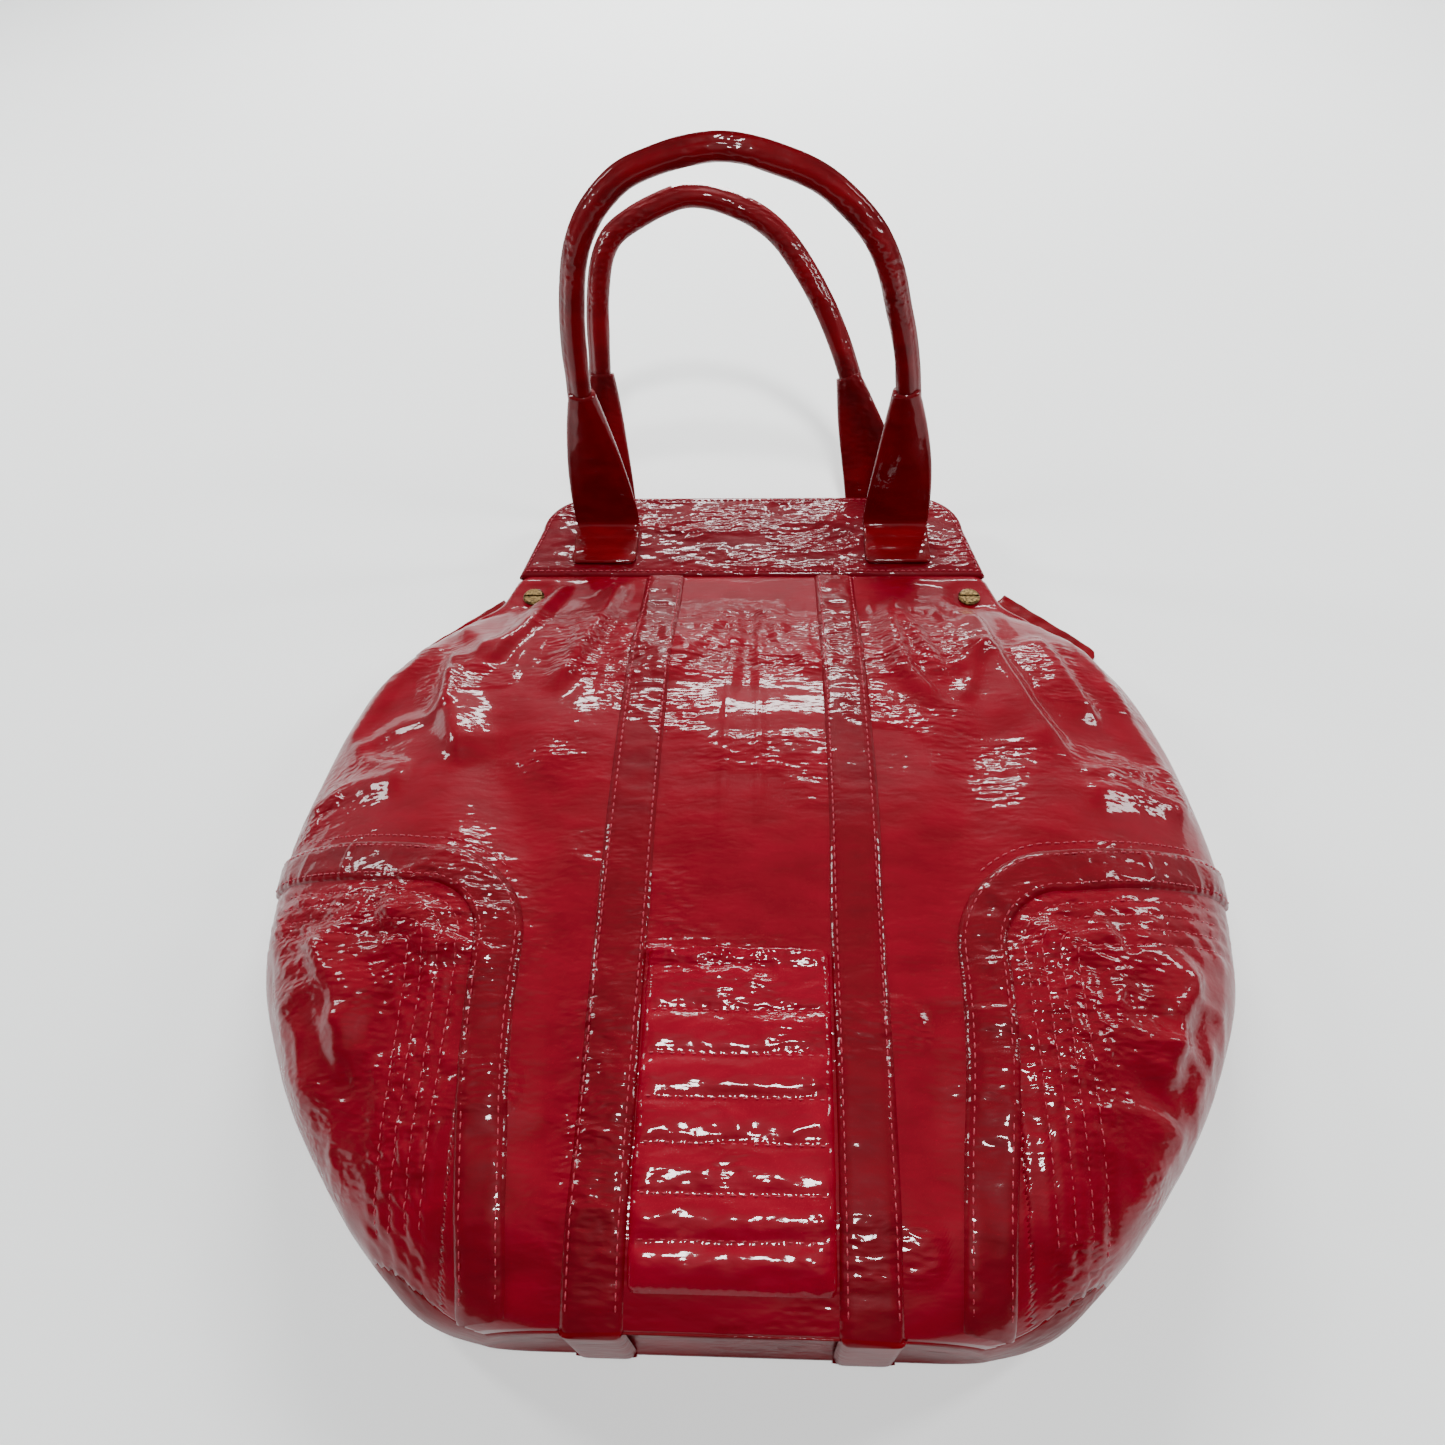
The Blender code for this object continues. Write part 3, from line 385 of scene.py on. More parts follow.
def surface_off(x, h, front):
    """Everything that moves the body's leather off the skin."""
    fade = smooth(0, 16, h) * (1 - smooth(376, 387, h))
    edge = np.clip((curve(OUTLINE, h) - np.abs(x)) / 14, 0, 1) * (1 - screw_seat(x, h))
    on_front = (big_folds(x, h) + quilting(x, h) + lean(x, h)) * fade * edge
    return np.where(front, on_front, 0.0)


LOWEST = 0.3  # leather stays this far above the floor


def lifted(height, turn, lift):
    """A point of the bag's leather, lifted off it by a distance along its normal."""
    x, h, level = skin(height, turn)
    step = 0.6
    part_turn = 0.004
    up = np.stack(skin(height + step, turn), -1) - np.stack(skin(height - step, turn), -1)
    across = np.stack(skin(height, turn + part_turn), -1)
    across = across - np.stack(skin(height, turn - part_turn), -1)
    normal = np.cross(across, up)
    size = np.linalg.norm(normal, axis=-1, keepdims=True)
    normal = normal / np.maximum(size, 1e-9)
    off = surface_off(x, h, np.cos(turn) >= 0) + lift
    point = np.stack([x, h, level], -1) + normal * off[..., None]
    point[..., 2] = np.maximum(point[..., 2], LOWEST)
    return point, normal


def turn_of(x, height):
    """Where a place across the front lies around the bag's section."""
    return np.arcsin(np.clip(x / curve(OUTLINE, height), -0.9999, 0.9999))


print("most crinkled at x = -128:", round(float(crumpled(np.array(-128.0), np.array(140.0))), 2))

# %% [markdown]
# Every finish starts from the real material. Colours are written as sRGB hex and turned to linear
# by one function, and one small function adds a node with its settings and links.
# Patent leather is leather under a thick clear film. The film gives sharp reflections and the
# crinkles break them into small bright flecks, so the crinkle matters more than the colour.

# %% Colour and node helpers


def to_linear(hex_colour):
    """An sRGB hex colour as linear red, green, blue and alpha."""
    parts = [int(hex_colour[i:i + 2], 16) / 255 for i in (1, 3, 5)]
    line = [c / 12.92 if c <= 0.04045 else ((c + 0.055) / 1.055) ** 2.4 for c in parts]
    return (*line, 1.0)


def add_node(tree, kind, settings=None, **links):
    """Adds a node. Settings are its properties or its inputs; links come from other nodes."""
    node = tree.nodes.new(kind)
    for key, value in (settings or {}).items():
        if hasattr(node, key):
            setattr(node, key, value)
        else:
            node.inputs[key].default_value = value
    for key, source in links.items():
        socket = node.inputs[key.replace("_", " ")]
        tree.links.new(source, socket)
    return node


def new_material(name):
    """An empty material and its node tree."""
    material = bpy.data.materials.new(name)
    material.use_nodes = True
    material.node_tree.nodes.clear()
    return material, material.node_tree


def colours(node, *stops):
    """Puts (position, hex) stops on a colour ramp."""
    ramp = node.color_ramp
    while len(ramp.elements) < len(stops):
        ramp.elements.new(0.5)
    for element, (position, hex_colour) in zip(ramp.elements, stops):
        element.position = position
        element.color = to_linear(hex_colour)


print("wine red in linear light:", [round(c, 4) for c in to_linear("#64000f")])

# %% [markdown]
# Patent leather is dyed hide with a poured polyurethane film. The hide below is dull and takes the
# colour. The film is a coat with a low roughness. Three reliefs lie on each other: slack folds
# about 22 mm wide and 10 mm high, film cells 6.7 mm wide and 2.4 mm high, and a 1 mm grain that
# only the hide shows. Folds and cells are wider than high because the bag is squeezed lengthwise.

# %% Patent leather
CELLS = (150.0, 420.0, 300.0)  # cells a metre: 6.7 mm wide, 2.4 mm high, 3.3 mm deep
SLACK = (45.0, 105.0, 80.0)  # a metre: 22 mm wide, 9.5 mm high, 12.5 mm deep
GRAIN = 900.0  # a metre: 1.1 mm
WARP = (0.006, 0.004, 0.006)  # metres that the cells wander, so that they never line up


def patent_leather(name, deep, bright, crinkle=1.0, gloss=0.5):
    """Dyed leather under a clear film, crinkled where the mesh's crinkle attribute says."""
    material, tree = new_material(name)
    place = add_node(tree, "ShaderNodeTexCoord").outputs["Object"]
    warp = add_node(tree, "ShaderNodeTexNoise", {"Scale": 60.0, "Detail": 2.0}, Vector=place)
    shift = add_node(tree, "ShaderNodeVectorMath", {"operation": "MULTIPLY_ADD"})
    shift.inputs[1].default_value = WARP
    tree.links.new(warp.outputs["Color"], shift.inputs[0])
    tree.links.new(place, shift.inputs[2])
    stretch = add_node(tree, "ShaderNodeMapping", {"Scale": CELLS},
                       Vector=shift.outputs["Vector"])
    cells = add_node(tree, "ShaderNodeTexVoronoi",
                     {"feature": "SMOOTH_F1", "Scale": 1.0, "Smoothness": 0.6},
                     Vector=stretch.outputs["Vector"])
    large = add_node(tree, "ShaderNodeMapping", {"Scale": SLACK},
                     Vector=shift.outputs["Vector"])
    folds = add_node(tree, "ShaderNodeTexNoise", {"Scale": 1.0, "Detail": 3.0, "Roughness": 0.5},
                     Vector=large.outputs["Vector"])
    where = add_node(tree, "ShaderNodeTexNoise", {"Scale": 17.0, "Detail": 1.5}, Vector=place)
    painted = add_node(tree, "ShaderNodeAttribute", {"attribute_name": "crinkle"})
    patchy = add_node(tree, "ShaderNodeMapRange", {"To Min": 0.06, "To Max": 1.0},
                      Value=painted.outputs["Fac"])
    calm = add_node(tree, "ShaderNodeMapRange", {"To Min": 0.30, "To Max": 1.0},
                    Value=painted.outputs["Fac"])
    fine = add_node(tree, "ShaderNodeMath", {"operation": "MULTIPLY"})
    tree.links.new(cells.outputs["Distance"], fine.inputs[0])
    tree.links.new(patchy.outputs["Result"], fine.inputs[1])
    grain = add_node(tree, "ShaderNodeTexVoronoi", {"Scale": GRAIN}, Vector=place)
    waves = add_node(tree, "ShaderNodeMath", {"operation": "MULTIPLY"})
    tree.links.new(folds.outputs["Fac"], waves.inputs[0])
    tree.links.new(calm.outputs["Result"], waves.inputs[1])
    bump_folds = add_node(tree, "ShaderNodeBump", {"Strength": 0.55 * crinkle, "Distance": 0.0035},
                          Height=waves.outputs["Value"])
    bump_cells = add_node(tree, "ShaderNodeBump", {"Strength": 0.9 * crinkle, "Distance": 0.0010},
                          Height=fine.outputs["Value"], Normal=bump_folds.outputs["Normal"])
    bump_grain = add_node(tree, "ShaderNodeBump", {"Strength": 0.05, "Distance": 0.0002},
                          Height=grain.outputs["Distance"], Normal=bump_cells.outputs["Normal"])
    # The colour follows the slack folds' relief: painted shade in their hollows and painted light on
    # their crests.
    tint = add_node(tree, "ShaderNodeValToRGB", {}, Fac=folds.outputs["Fac"])
    colours(tint, (0.30, deep), (0.70, bright))
    worn = add_node(tree, "ShaderNodeMapRange", {"To Min": 0.42, "To Max": 0.58},
                    Value=where.outputs["Fac"])
    shader = add_node(tree, "ShaderNodeBsdfPrincipled",
                      {"IOR": 1.5, "Coat Weight": gloss, "Coat Roughness": 0.055, "Coat IOR": 1.40,
                       "Specular IOR Level": 0.06},
                      Base_Color=tint.outputs["Color"], Roughness=worn.outputs["Result"],
                      Normal=bump_grain.outputs["Normal"])
    tree.links.new(bump_cells.outputs["Normal"], shader.inputs["Coat Normal"])
    add_node(tree, "ShaderNodeOutputMaterial", {}, Surface=shader.outputs["BSDF"])
    return material


RED_PATENT = patent_leather("patent leather, cherry red", "#64000f", "#720015")
# The straps and curved bands take the body's red leather painted darker: painted shade.
STRAP_SHADED_PATENT = patent_leather("patent leather, strap red with painted shade", "#58000c", "#660010", 0.9)
# The pocket takes the body's red leather painted lighter: painted light.
POCKET_LIT_PATENT = patent_leather("patent leather, pocket red with painted light", "#700014", "#7e001a", 0.9)
# The base, the strap ends under it and the side tabs take the body's red leather painted darker, with a
# weaker film: painted shade.
PAINTED_SHADE_PATENT = patent_leather("patent leather, red with painted shade", "#560008", "#6c000e", 0.8, 0.15)
# The top bands take the body's red leather painted darker: painted shade.
BAND_SHADED_PATENT = patent_leather("patent leather, band red with painted shade", "#56000c", "#620010", 1.0)
# The handles and leaf tabs take the body's red leather painted darker: painted shade.
HANDLE_SHADED_PATENT = patent_leather("patent leather, handle red with painted shade", "#520006", "#66000a", 0.5)
print("six patent leathers made")

# %% [markdown]
# Thread, lining cloth, brass and steel are the other finishes. Waxed polyester thread is dyed to the
# leather, and its colour is painted lighter than the leather as a painted highlight. The brass screws
# are antiqued: dark in the hollows and rubbed bright on top.

# %% Thread, cloth, metal and board


def simple_finish(name, dark, light, scale, settings, bump=0.0, depth=0.0002, stretch=(1, 1, 1)):
    """A finish whose colour and relief follow one noise, with its scale in cycles a metre."""
    material, tree = new_material(name)
    place = add_node(tree, "ShaderNodeTexCoord").outputs["Object"]
    mapped = add_node(tree, "ShaderNodeMapping", {"Scale": stretch}, Vector=place)
    noise = add_node(tree, "ShaderNodeTexNoise", {"Scale": scale, "Detail": 4.0},
                     Vector=mapped.outputs["Vector"])
    tint = add_node(tree, "ShaderNodeValToRGB", {}, Fac=noise.outputs["Fac"])
    colours(tint, (0.35, dark), (0.65, light))
    relief = add_node(tree, "ShaderNodeBump", {"Strength": bump, "Distance": depth},
                      Height=noise.outputs["Fac"])
    shader = add_node(tree, "ShaderNodeBsdfPrincipled", settings,
                      Base_Color=tint.outputs["Color"], Normal=relief.outputs["Normal"])
    add_node(tree, "ShaderNodeOutputMaterial", {}, Surface=shader.outputs["BSDF"])
    return material


TWILL_PITCH = 0.0011  # metres from rib to rib, about twice the real one, so that the ribs show
WAVE_LENGTH = 0.314  # metres between the bands of Blender's wave texture at scale 1


def twill(name, dark, light):
    """Twill-woven cloth: ribs at 45 degrees."""
    material, tree = new_material(name)
    place = add_node(tree, "ShaderNodeTexCoord").outputs["Object"]
    turned = add_node(tree, "ShaderNodeMapping", {"Rotation": (0.0, 0.0, 0.785)},
                      Vector=place)
    ribs = add_node(tree, "ShaderNodeTexWave", {"Scale": WAVE_LENGTH / TWILL_PITCH, "Distortion": 0.6},
                    Vector=turned.outputs["Vector"])
    tint = add_node(tree, "ShaderNodeValToRGB", {}, Fac=ribs.outputs["Fac"])
    colours(tint, (0.2, dark), (0.8, light))
    relief = add_node(tree, "ShaderNodeBump", {"Strength": 0.5, "Distance": 0.0003},
                      Height=ribs.outputs["Fac"])
    shader = add_node(tree, "ShaderNodeBsdfPrincipled", {"Roughness": 0.85, "Sheen Weight": 0.05},
                      Base_Color=tint.outputs["Color"], Normal=relief.outputs["Normal"])
    add_node(tree, "ShaderNodeOutputMaterial", {}, Surface=shader.outputs["BSDF"])
    return material


# Cotton twill is matt, with a faint fuzz that the sheen gives.
LINING_TWILL = twill("twill lining, wine", "#3c060f", "#64101c")
# Waxed thread is a little shiny. Its colour is painted lighter than the leather as a painted highlight,
# so a row reads as a dotted line.
THREAD = simple_finish("waxed polyester thread, painted highlight", "#78081c", "#a01c34", 2500, {"Roughness": 0.45}, 0.3)
# Antiqued brass is brown in its hollows and rubbed yellow on top.
BRASS = simple_finish("antique brass", "#3a2c1a", "#8a7148", 700,
                      {"Metallic": 1.0, "Roughness": 0.36}, 0.15)
# Brushed steel has long fine scratches, so its noise is stretched ten times along the bars.
STEEL = simple_finish("brushed steel", "#8c8c8e", "#b8b8ba", 900,
                      {"Metallic": 1.0, "Roughness": 0.35}, 0.1, 0.0001, (0.1, 3, 3))
# Pressed board is dull grey-brown with 2 mm fibres, and cotton cord is rough and cream.
BOARD = simple_finish("pressed stiffener board", "#5a5450", "#7a736e", 500, {"Roughness": 0.85}, 0.3)
CORD = simple_finish("twisted cotton cord", "#8c8067", "#b5a98c", 1200, {"Roughness": 0.9}, 0.5)
print("lining, thread, brass, steel, board and cord made")

# %% [markdown]
# A sheet of leather is a grid of points. This helper turns one, or any set of points and faces,
# into a smooth-shaded object with its material and the CAD nodes that it stands for.

# %% Mesh helpers


def grid_faces(rows, columns, closed=False):
    """Four-cornered faces of a grid of points, joined round its columns when closed."""
    span = columns if closed else columns - 1
    i = np.arange(rows - 1)[:, None]
    j = np.arange(span)[None, :]
    k = (j + 1) % columns
    return np.stack([i * columns + j, i * columns + k, (i + 1) * columns + k,
                     (i + 1) * columns + j], -1).reshape(-1, 4)


def make_piece(name, points, faces, material, replaces=(), body=None):
    """One object, from points in bag millimetres."""
    points = np.asarray(points, float).reshape(-1, 3)
    points = to_frame(points[:, 0], points[:, 1], points[:, 2])
    mesh = bpy.data.meshes.new(name)
    mesh.from_pydata(points.tolist(), [], [list(map(int, f)) for f in faces])
    mesh.shade_smooth()
    mesh.materials.append(material)
    shares = crumpled(points[:, 0] * 1000, points[:, 1] * 1000 + MIDDLE)
    mesh.attributes.new("crinkle", "FLOAT", "POINT").data.foreach_set("value", shares)
    item = bpy.data.objects.new(name, mesh)
    bpy.context.collection.objects.link(item)
    if replaces:
        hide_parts(*replaces)
    if body:
        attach(item, body)
    return item


def grid_piece(name, points, material, replaces=(), body=None, closed=False):
    """A sheet, or with closed a tube whose two ends are capped."""
    rows, columns = points.shape[:2]
    faces = grid_faces(rows, columns, closed).tolist()
    if closed:
        faces.append(list(range(columns))[::-1])
        faces.append(list(range((rows - 1) * columns, rows * columns)))
    return make_piece(name, points, faces, material, replaces, body)


def flex(item):
    """Bakes the piece's transform into its points."""
    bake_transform(item)


# %% [markdown]
# The body is one closed grid, wrapped round the bag from base to top, which is then cut into the
# pieces that a bag maker would cut: front, back, two side patches and base. Cutting one surface
# keeps every seam exactly shut. Columns are spaced evenly round the section, closer in front.

# %% The body's grid
FRONT_SPACING = 1.7
BACK_SPACING = 4.0
FIRST_ROWS = [0, 0.3, 0.8, 1.6, 2.6, 3.8, 5.2, 6.8, 8.4]  # close together, for the base's corner


def even_turns(low, high, spacing):
    """Turns that are evenly spaced along the bag's section at its widest."""
    fine = np.linspace(low, high, 2001)
    x, _, z = skin(np.full_like(fine, 180.0), fine)
    run = np.concatenate([[0], np.cumsum(np.hypot(np.diff(x), np.diff(z)))])
    return np.interp(np.linspace(0, run[-1], int(run[-1] / spacing) + 1), run, fine)


body_turns = np.concatenate([even_turns(-np.pi / 2, np.pi / 2, FRONT_SPACING)[:-1],
                             even_turns(np.pi / 2, 3 * np.pi / 2, BACK_SPACING)[:-1]])
body_heights = np.concatenate([FIRST_ROWS, np.arange(10, BODY + 1, FRONT_SPACING), [BODY + 2]])
turn_grid, height_grid = np.meshgrid(body_turns, body_heights)
body_points, _ = lifted(height_grid, turn_grid, 0.0)
tuck = 2.2 * smooth(383.5, 388.5, height_grid)  # the top edge slips in behind the band
body_points[..., 2] -= tuck * (np.cos(turn_grid) > 0)
rows, columns = height_grid.shape
body_faces = grid_faces(rows, columns, closed=True)
print("body:", rows, "rows of", columns, "points")

# %% The base's end
CAP_SHARES = (0.97, 0.9, 0.75, 0.55, 0.3, 0.05)  # rings from the rim in to the middle
CAP_HOLLOW = 3.0
ring = body_points[0]
centre = ring.mean(axis=0)
cap_points = [centre + (ring - centre) * share + [0, CAP_HOLLOW * (1 - share ** 4), 0]
              for share in CAP_SHARES]
all_points = np.concatenate([body_points.reshape(-1, 3), np.concatenate(cap_points)])
cap_index = np.concatenate([np.arange(columns),
                            rows * columns + np.arange(len(CAP_SHARES) * columns)])
cap_faces = cap_index[grid_faces(len(CAP_SHARES) + 1, columns, closed=True)[:, ::-1]]
print("base closed with", len(cap_faces), "faces")

# %% Cutting the pieces
LEATHER = 0.0012  # metres
PATCH_SEAM = 6.0  # the patch's seam runs this far inside the D, under the curved band


def welt_height(x):
    """Height of the seam between body and base: the base turns up at its corners."""
    return 0.6 + 24 * smooth(84, 142, np.abs(x))


middle_x = all_points[body_faces].mean(axis=1)[:, 0]
middle_h = height_grid.reshape(-1)[body_faces].mean(axis=1)
middle_turn = turn_grid.reshape(-1)[body_faces[:, 0]]
in_front = np.cos(middle_turn) > -1e-9
is_base = middle_h < welt_height(middle_x)
is_patch = in_front & ~is_base & (patch_inside(middle_x, middle_h) > PATCH_SEAM)
is_front = in_front & ~is_base & ~is_patch
is_back = ~in_front & ~is_base


def cut_from_body(name, chosen, material, replaces, body=None, extra=None):
    """A piece made of the chosen faces of the body's grid, given the leather's thickness."""
    faces = body_faces[chosen]
    if extra is not None:
        faces = np.concatenate([faces, extra])
    used, index = np.unique(faces, return_inverse=True)
    piece = make_piece(name, all_points[used], index.reshape(-1, 4), material, replaces, body)
    thick = piece.modifiers.new("thickness", "SOLIDIFY")
    thick.thickness = LEATHER
    thick.offset = -1
    return piece


front_leather = cut_from_body(
    "front_leather", is_front, RED_PATENT,
    ("front_center_panel", "front_side_panel_left", "front_side_panel_right", "front_wing_left",
     "front_wing_right"))
flex(front_leather)
for side, word in ((-1, "left"), (1, "right")):
    patch = cut_from_body(f"quilted_patch_leather_{word}", is_patch & (middle_x * side > 0),
                          RED_PATENT, (f"quilted_patch_{word}",), "bag")
cut_from_body(
    "back_leather", is_back, RED_PATENT,
    ("back_center_panel", "back_side_panel_left", "back_side_panel_right"), "bag")
# The base's leather is the painted-shade copy of the red.
cut_from_body("base_leather", is_base, PAINTED_SHADE_PATENT, ("base_panel",), "bag",
              cap_faces)
print("faces in front, patches, back and base:", int(is_front.sum()), int(is_patch.sum()),
      int(is_back.sum()), int(is_base.sum()))

# %% [markdown]
# Straps, curved bands and the pocket are second layers, laid on the body's leather so that they
# follow its folds. Each is a grid across and along the piece. Its edges roll down to the leather
# below, and a groove with small puckers runs along each row of stitching.

# %% Rolled edges and stitch grooves


def rolled(across, half, thickness=1.9):
    """Height of a strip across its width: flat, with edges that roll down."""
    t = np.clip(np.abs(across) / half, 0, 1)
    return thickness * (1 - t ** 8) - 0.9 * t ** 14


def stitch_groove(across, along, line, pitch=STITCH, depth=0.55):
    """A groove beside both edges, deeper at each stitch."""
    near = np.exp(-(((np.abs(across) - line) / 1.3) ** 2))
    return -depth * near * (0.55 + 0.45 * np.cos(2 * np.pi * along / pitch))


print("strip thickness:", float(rolled(0.0, 10.0)), "mm")

# %% Straps
STRAP_HALF = STRAP_WIDTH / 2
STRAP_STITCH = 8.6  # from the strap's middle line to each row
FRONT_STEP = 1.4
STRAP_ACROSS = np.linspace(-STRAP_HALF, STRAP_HALF, 21)
INNER_FACE = 2.1  # level of the strap's inner face, under the back


def strap_lift(across, height):
    """How far a strap's face stands off the body's leather."""
    groove = stitch_groove(across, height, STRAP_STITCH)
    dense = 0.25 + 0.95 * smooth(262, 292, height) * (1 - smooth(376, 384, height))
    pucker = dense * 0.8 * creased(across / 15 + 9, height / 6.5, 61)
    slack = 0.5 * lattice_noise(across / 20, height / 24, 63)
    inner = 1 - smooth(8, 11, np.abs(across))
    return rolled(across, STRAP_HALF) + groove + (pucker + slack) * inner


def front_strap(side, word):
    """From the top band down the front, then across the end of the base."""
    heights = np.concatenate([np.arange(BODY - 1, 6, -FRONT_STEP), [5, 3.6, 2.4, 1.2, 0.3]])
    a, h = np.meshgrid(STRAP_ACROSS, heights)
    x = side * STRAP_OFFSET + a + 0.8 * lattice_noise(h / 70, h * 0 + side, 65)
    upper, _ = lifted(h, turn_of(x, h), strap_lift(a, h))
    upper[..., 2] -= 2.6 * smooth(384, BODY, h)
    levels = np.linspace(float(upper[-1, len(STRAP_ACROSS) // 2, 2]) - 1, 1.2, 28)
    a, z = np.meshgrid(STRAP_ACROSS, levels)
    below = np.stack([side * STRAP_OFFSET + a, -rolled(a, STRAP_HALF, 1.7), z], -1)
    below[-1, :, 1] += 1.0
    strap = grid_piece(f"strap_front_{word}", np.concatenate([upper, below]), STRAP_SHADED_PATENT,
                       (f"strap_{word}",))
    # The faces under the base take the painted-shade copy of the red.
    strap.data.materials.append(PAINTED_SHADE_PATENT)
    for face in strap.data.polygons:
        if face.center.y < -MIDDLE / 1000 + 0.0005:
            face.material_index = 1
    flex(strap)


def back_strap(side, word):
    """Up the back, where it is the lowest face of the whole bag."""
    heights = np.concatenate([[-1.0, -0.2, 1.0, 2.4], np.arange(4, 384, 3.0)])
    a, h = np.meshgrid(STRAP_ACROSS, heights)
    z = INNER_FACE - rolled(a, STRAP_HALF, 1.9) + 0.25 * lattice_noise(a / 8, h / 12, 66)
    z = np.maximum(z, 0.05) + (1 - smooth(-1, 2.4, h))
    points = np.stack([side * STRAP_OFFSET - a, h, z], -1)
    grid_piece(f"strap_back_{word}", points, STRAP_SHADED_PATENT,
               (f"strap_{word}",), "bag")


for side, word in ((-1, "left"), (1, "right")):
    front_strap(side, word)
    back_strap(side, word)
print("straps laid down the front, under the base and up the back")

# %% [markdown]
# A curved band hides the seam round each D. On the real bag it is a strip cut on the bias and
# pulled round the corner. Here it is a grid along the D's outline: straight up, round a quarter
# circle, and out to the side, where it narrows to a point under the side seam.

# %% Curved bands
BAND_REACH = 217.0  # half the bag's width where the band runs out to the side
TO_DEGREES = 57.3  # near enough to space points round a corner
BAND_STITCH = 7.2
BAND_ACROSS = np.linspace(-BAND_HALF, BAND_HALF, 19)


def band_centre(side, step=FRONT_STEP):
    """Middle line of a curved band from the base up, round the corner and out to the side."""
    points = [(PATCH_SIDE, h) for h in np.arange(4, PATCH_TOP - PATCH_CORNER, step)]
    for angle in np.arange(180, 90, -step / PATCH_CORNER * TO_DEGREES):
        x = PATCH_SIDE + PATCH_CORNER + PATCH_CORNER * math.cos(math.radians(angle))
        points.append((x, PATCH_TOP - PATCH_CORNER + PATCH_CORNER * math.sin(math.radians(angle))))
    start = math.asin((PATCH_SIDE + PATCH_CORNER) / BAND_REACH)
    for turn in np.arange(start + 0.006, math.pi / 2, 0.0075):
        x = BAND_REACH * math.sin(turn)
        points.append((x, PATCH_TOP + CLIMB * (x - PATCH_SIDE - PATCH_CORNER)))
    points = np.array(points)
    points[:, 0] -= 9 * (1 - smooth(0, 120, points[:, 1]))
    return points * [side, 1]


def curved_band(side, word):
    """Lays the band, and returns the places of its grid, which its stitches follow."""
    middle = band_centre(side)
    tangent = np.gradient(middle, axis=0)
    tangent /= np.linalg.norm(tangent, axis=1, keepdims=True)
    sideways = np.stack([-tangent[:, 1], tangent[:, 0]], -1) * side
    run = np.concatenate([[0], np.cumsum(np.linalg.norm(np.diff(middle, axis=0), axis=1))])
    x = middle[:, None, 0] + sideways[:, None, 0] * BAND_ACROSS[None, :]
    h = middle[:, None, 1] + sideways[:, None, 1] * BAND_ACROSS[None, :]
    far = smooth(190, 212, np.abs(middle[:, 0]))[:, None]
    x = x * (1 - far) + middle[:, None, 0] * far
    h = np.clip(h, 2.0, None)
    a = np.broadcast_to(BAND_ACROSS[None, :], x.shape)
    s = np.broadcast_to(run[:, None], x.shape)
    lift = rolled(a, BAND_HALF) + stitch_groove(a, s, BAND_STITCH, STITCH, 0.6)
    lift += 0.55 * creased(s / 8, a / 14, 71) * (1 - smooth(7, 10, np.abs(a)))
    points, _ = lifted(h, turn_of(x, h), lift)
    grid_piece(f"curved_band_leather_{word}", points, STRAP_SHADED_PATENT,
               (f"curved_band_{word}",), "bag")
    print("curved band:", round(float(run[-1])), "mm long")
    return x, h


curved_grids = {side: curved_band(side, word) for side, word in ((-1, "left"), (1, "right"))}

# %% [markdown]
# The front pocket is a panel quilted in flat channels that run across it. Each channel puffs up
# over its wadding and is pulled down at its stitch row, where the leather puckers. The top edge is
# a folded rim and the other edges are turned under.

# %% Pocket
POCKET_CHANNELS = np.array([131, 108, 91, 75, 59, 42, 28, 14.0])  # heights of the stitch rows
POCKET_HALF = 36.1
POCKET_BOTTOM = 12.0
POCKET_TOP = 134.4
a, h = np.meshgrid(np.linspace(-POCKET_HALF, POCKET_HALF, 50),
                   np.arange(POCKET_BOTTOM, POCKET_TOP, 1.3))
wander = h + lattice_noise(a / 18, h / 30, 75)
to_channel = np.min(np.abs(wander[..., None] - POCKET_CHANNELS), axis=-1)
puff = 1.7 * (1 - np.exp(-to_channel / 4.0))
pinch = -0.5 * np.exp(-((to_channel / 1.2) ** 2)) * np.cos(2 * np.pi * a / 4.0)
crumple = 0.55 * creased((a + h) / 15, (h - 0.4 * a) / 10, 77) * smooth(1, 4, to_channel)
rim = 2.4 * smooth(126, 130, h) * (1 - smooth(133, POCKET_TOP, h))
sides = 1 - smooth(31, POCKET_HALF, np.abs(a))
turned_under = 2.2 * smooth(34.9, POCKET_HALF, np.abs(a)) + 2.6 * smooth(133.2, POCKET_TOP, h)
turned_under = turned_under + 2.2 * (1 - smooth(POCKET_BOTTOM, 14, h))
lift = 1.8 + (puff + pinch + crumple + rim) * (0.25 + 0.75 * sides) - turned_under
points, _ = lifted(h, turn_of(a, h), lift)
pocket = grid_piece("front_pocket_leather", points, POCKET_LIT_PATENT,
                    ("front_pocket",), "bag")
print("pocket with", len(POCKET_CHANNELS), "stitch rows")

# %% [markdown]
# The top bands are the firmest part: leather wrapped round the steel frame and stitched in one
# line inside its edge. Each is a closed pillow: a front face and a facing that meet in a rounded
# rim. The grid runs from the rim to the middle, so the rim and the stitch line stay smooth.

# %% Outline of a top band
MOUTH_LOW = 134.0  # half width where the band meets the body
MOUTH_HIGH = 125.0  # half width at its top
MOUTH_CORNER = 28.0
MOUTH_TOP = BODY + BAND
TOPSTITCH = 3.4  # the stitch line is this far inside the edge
ARC_STEPS = 12


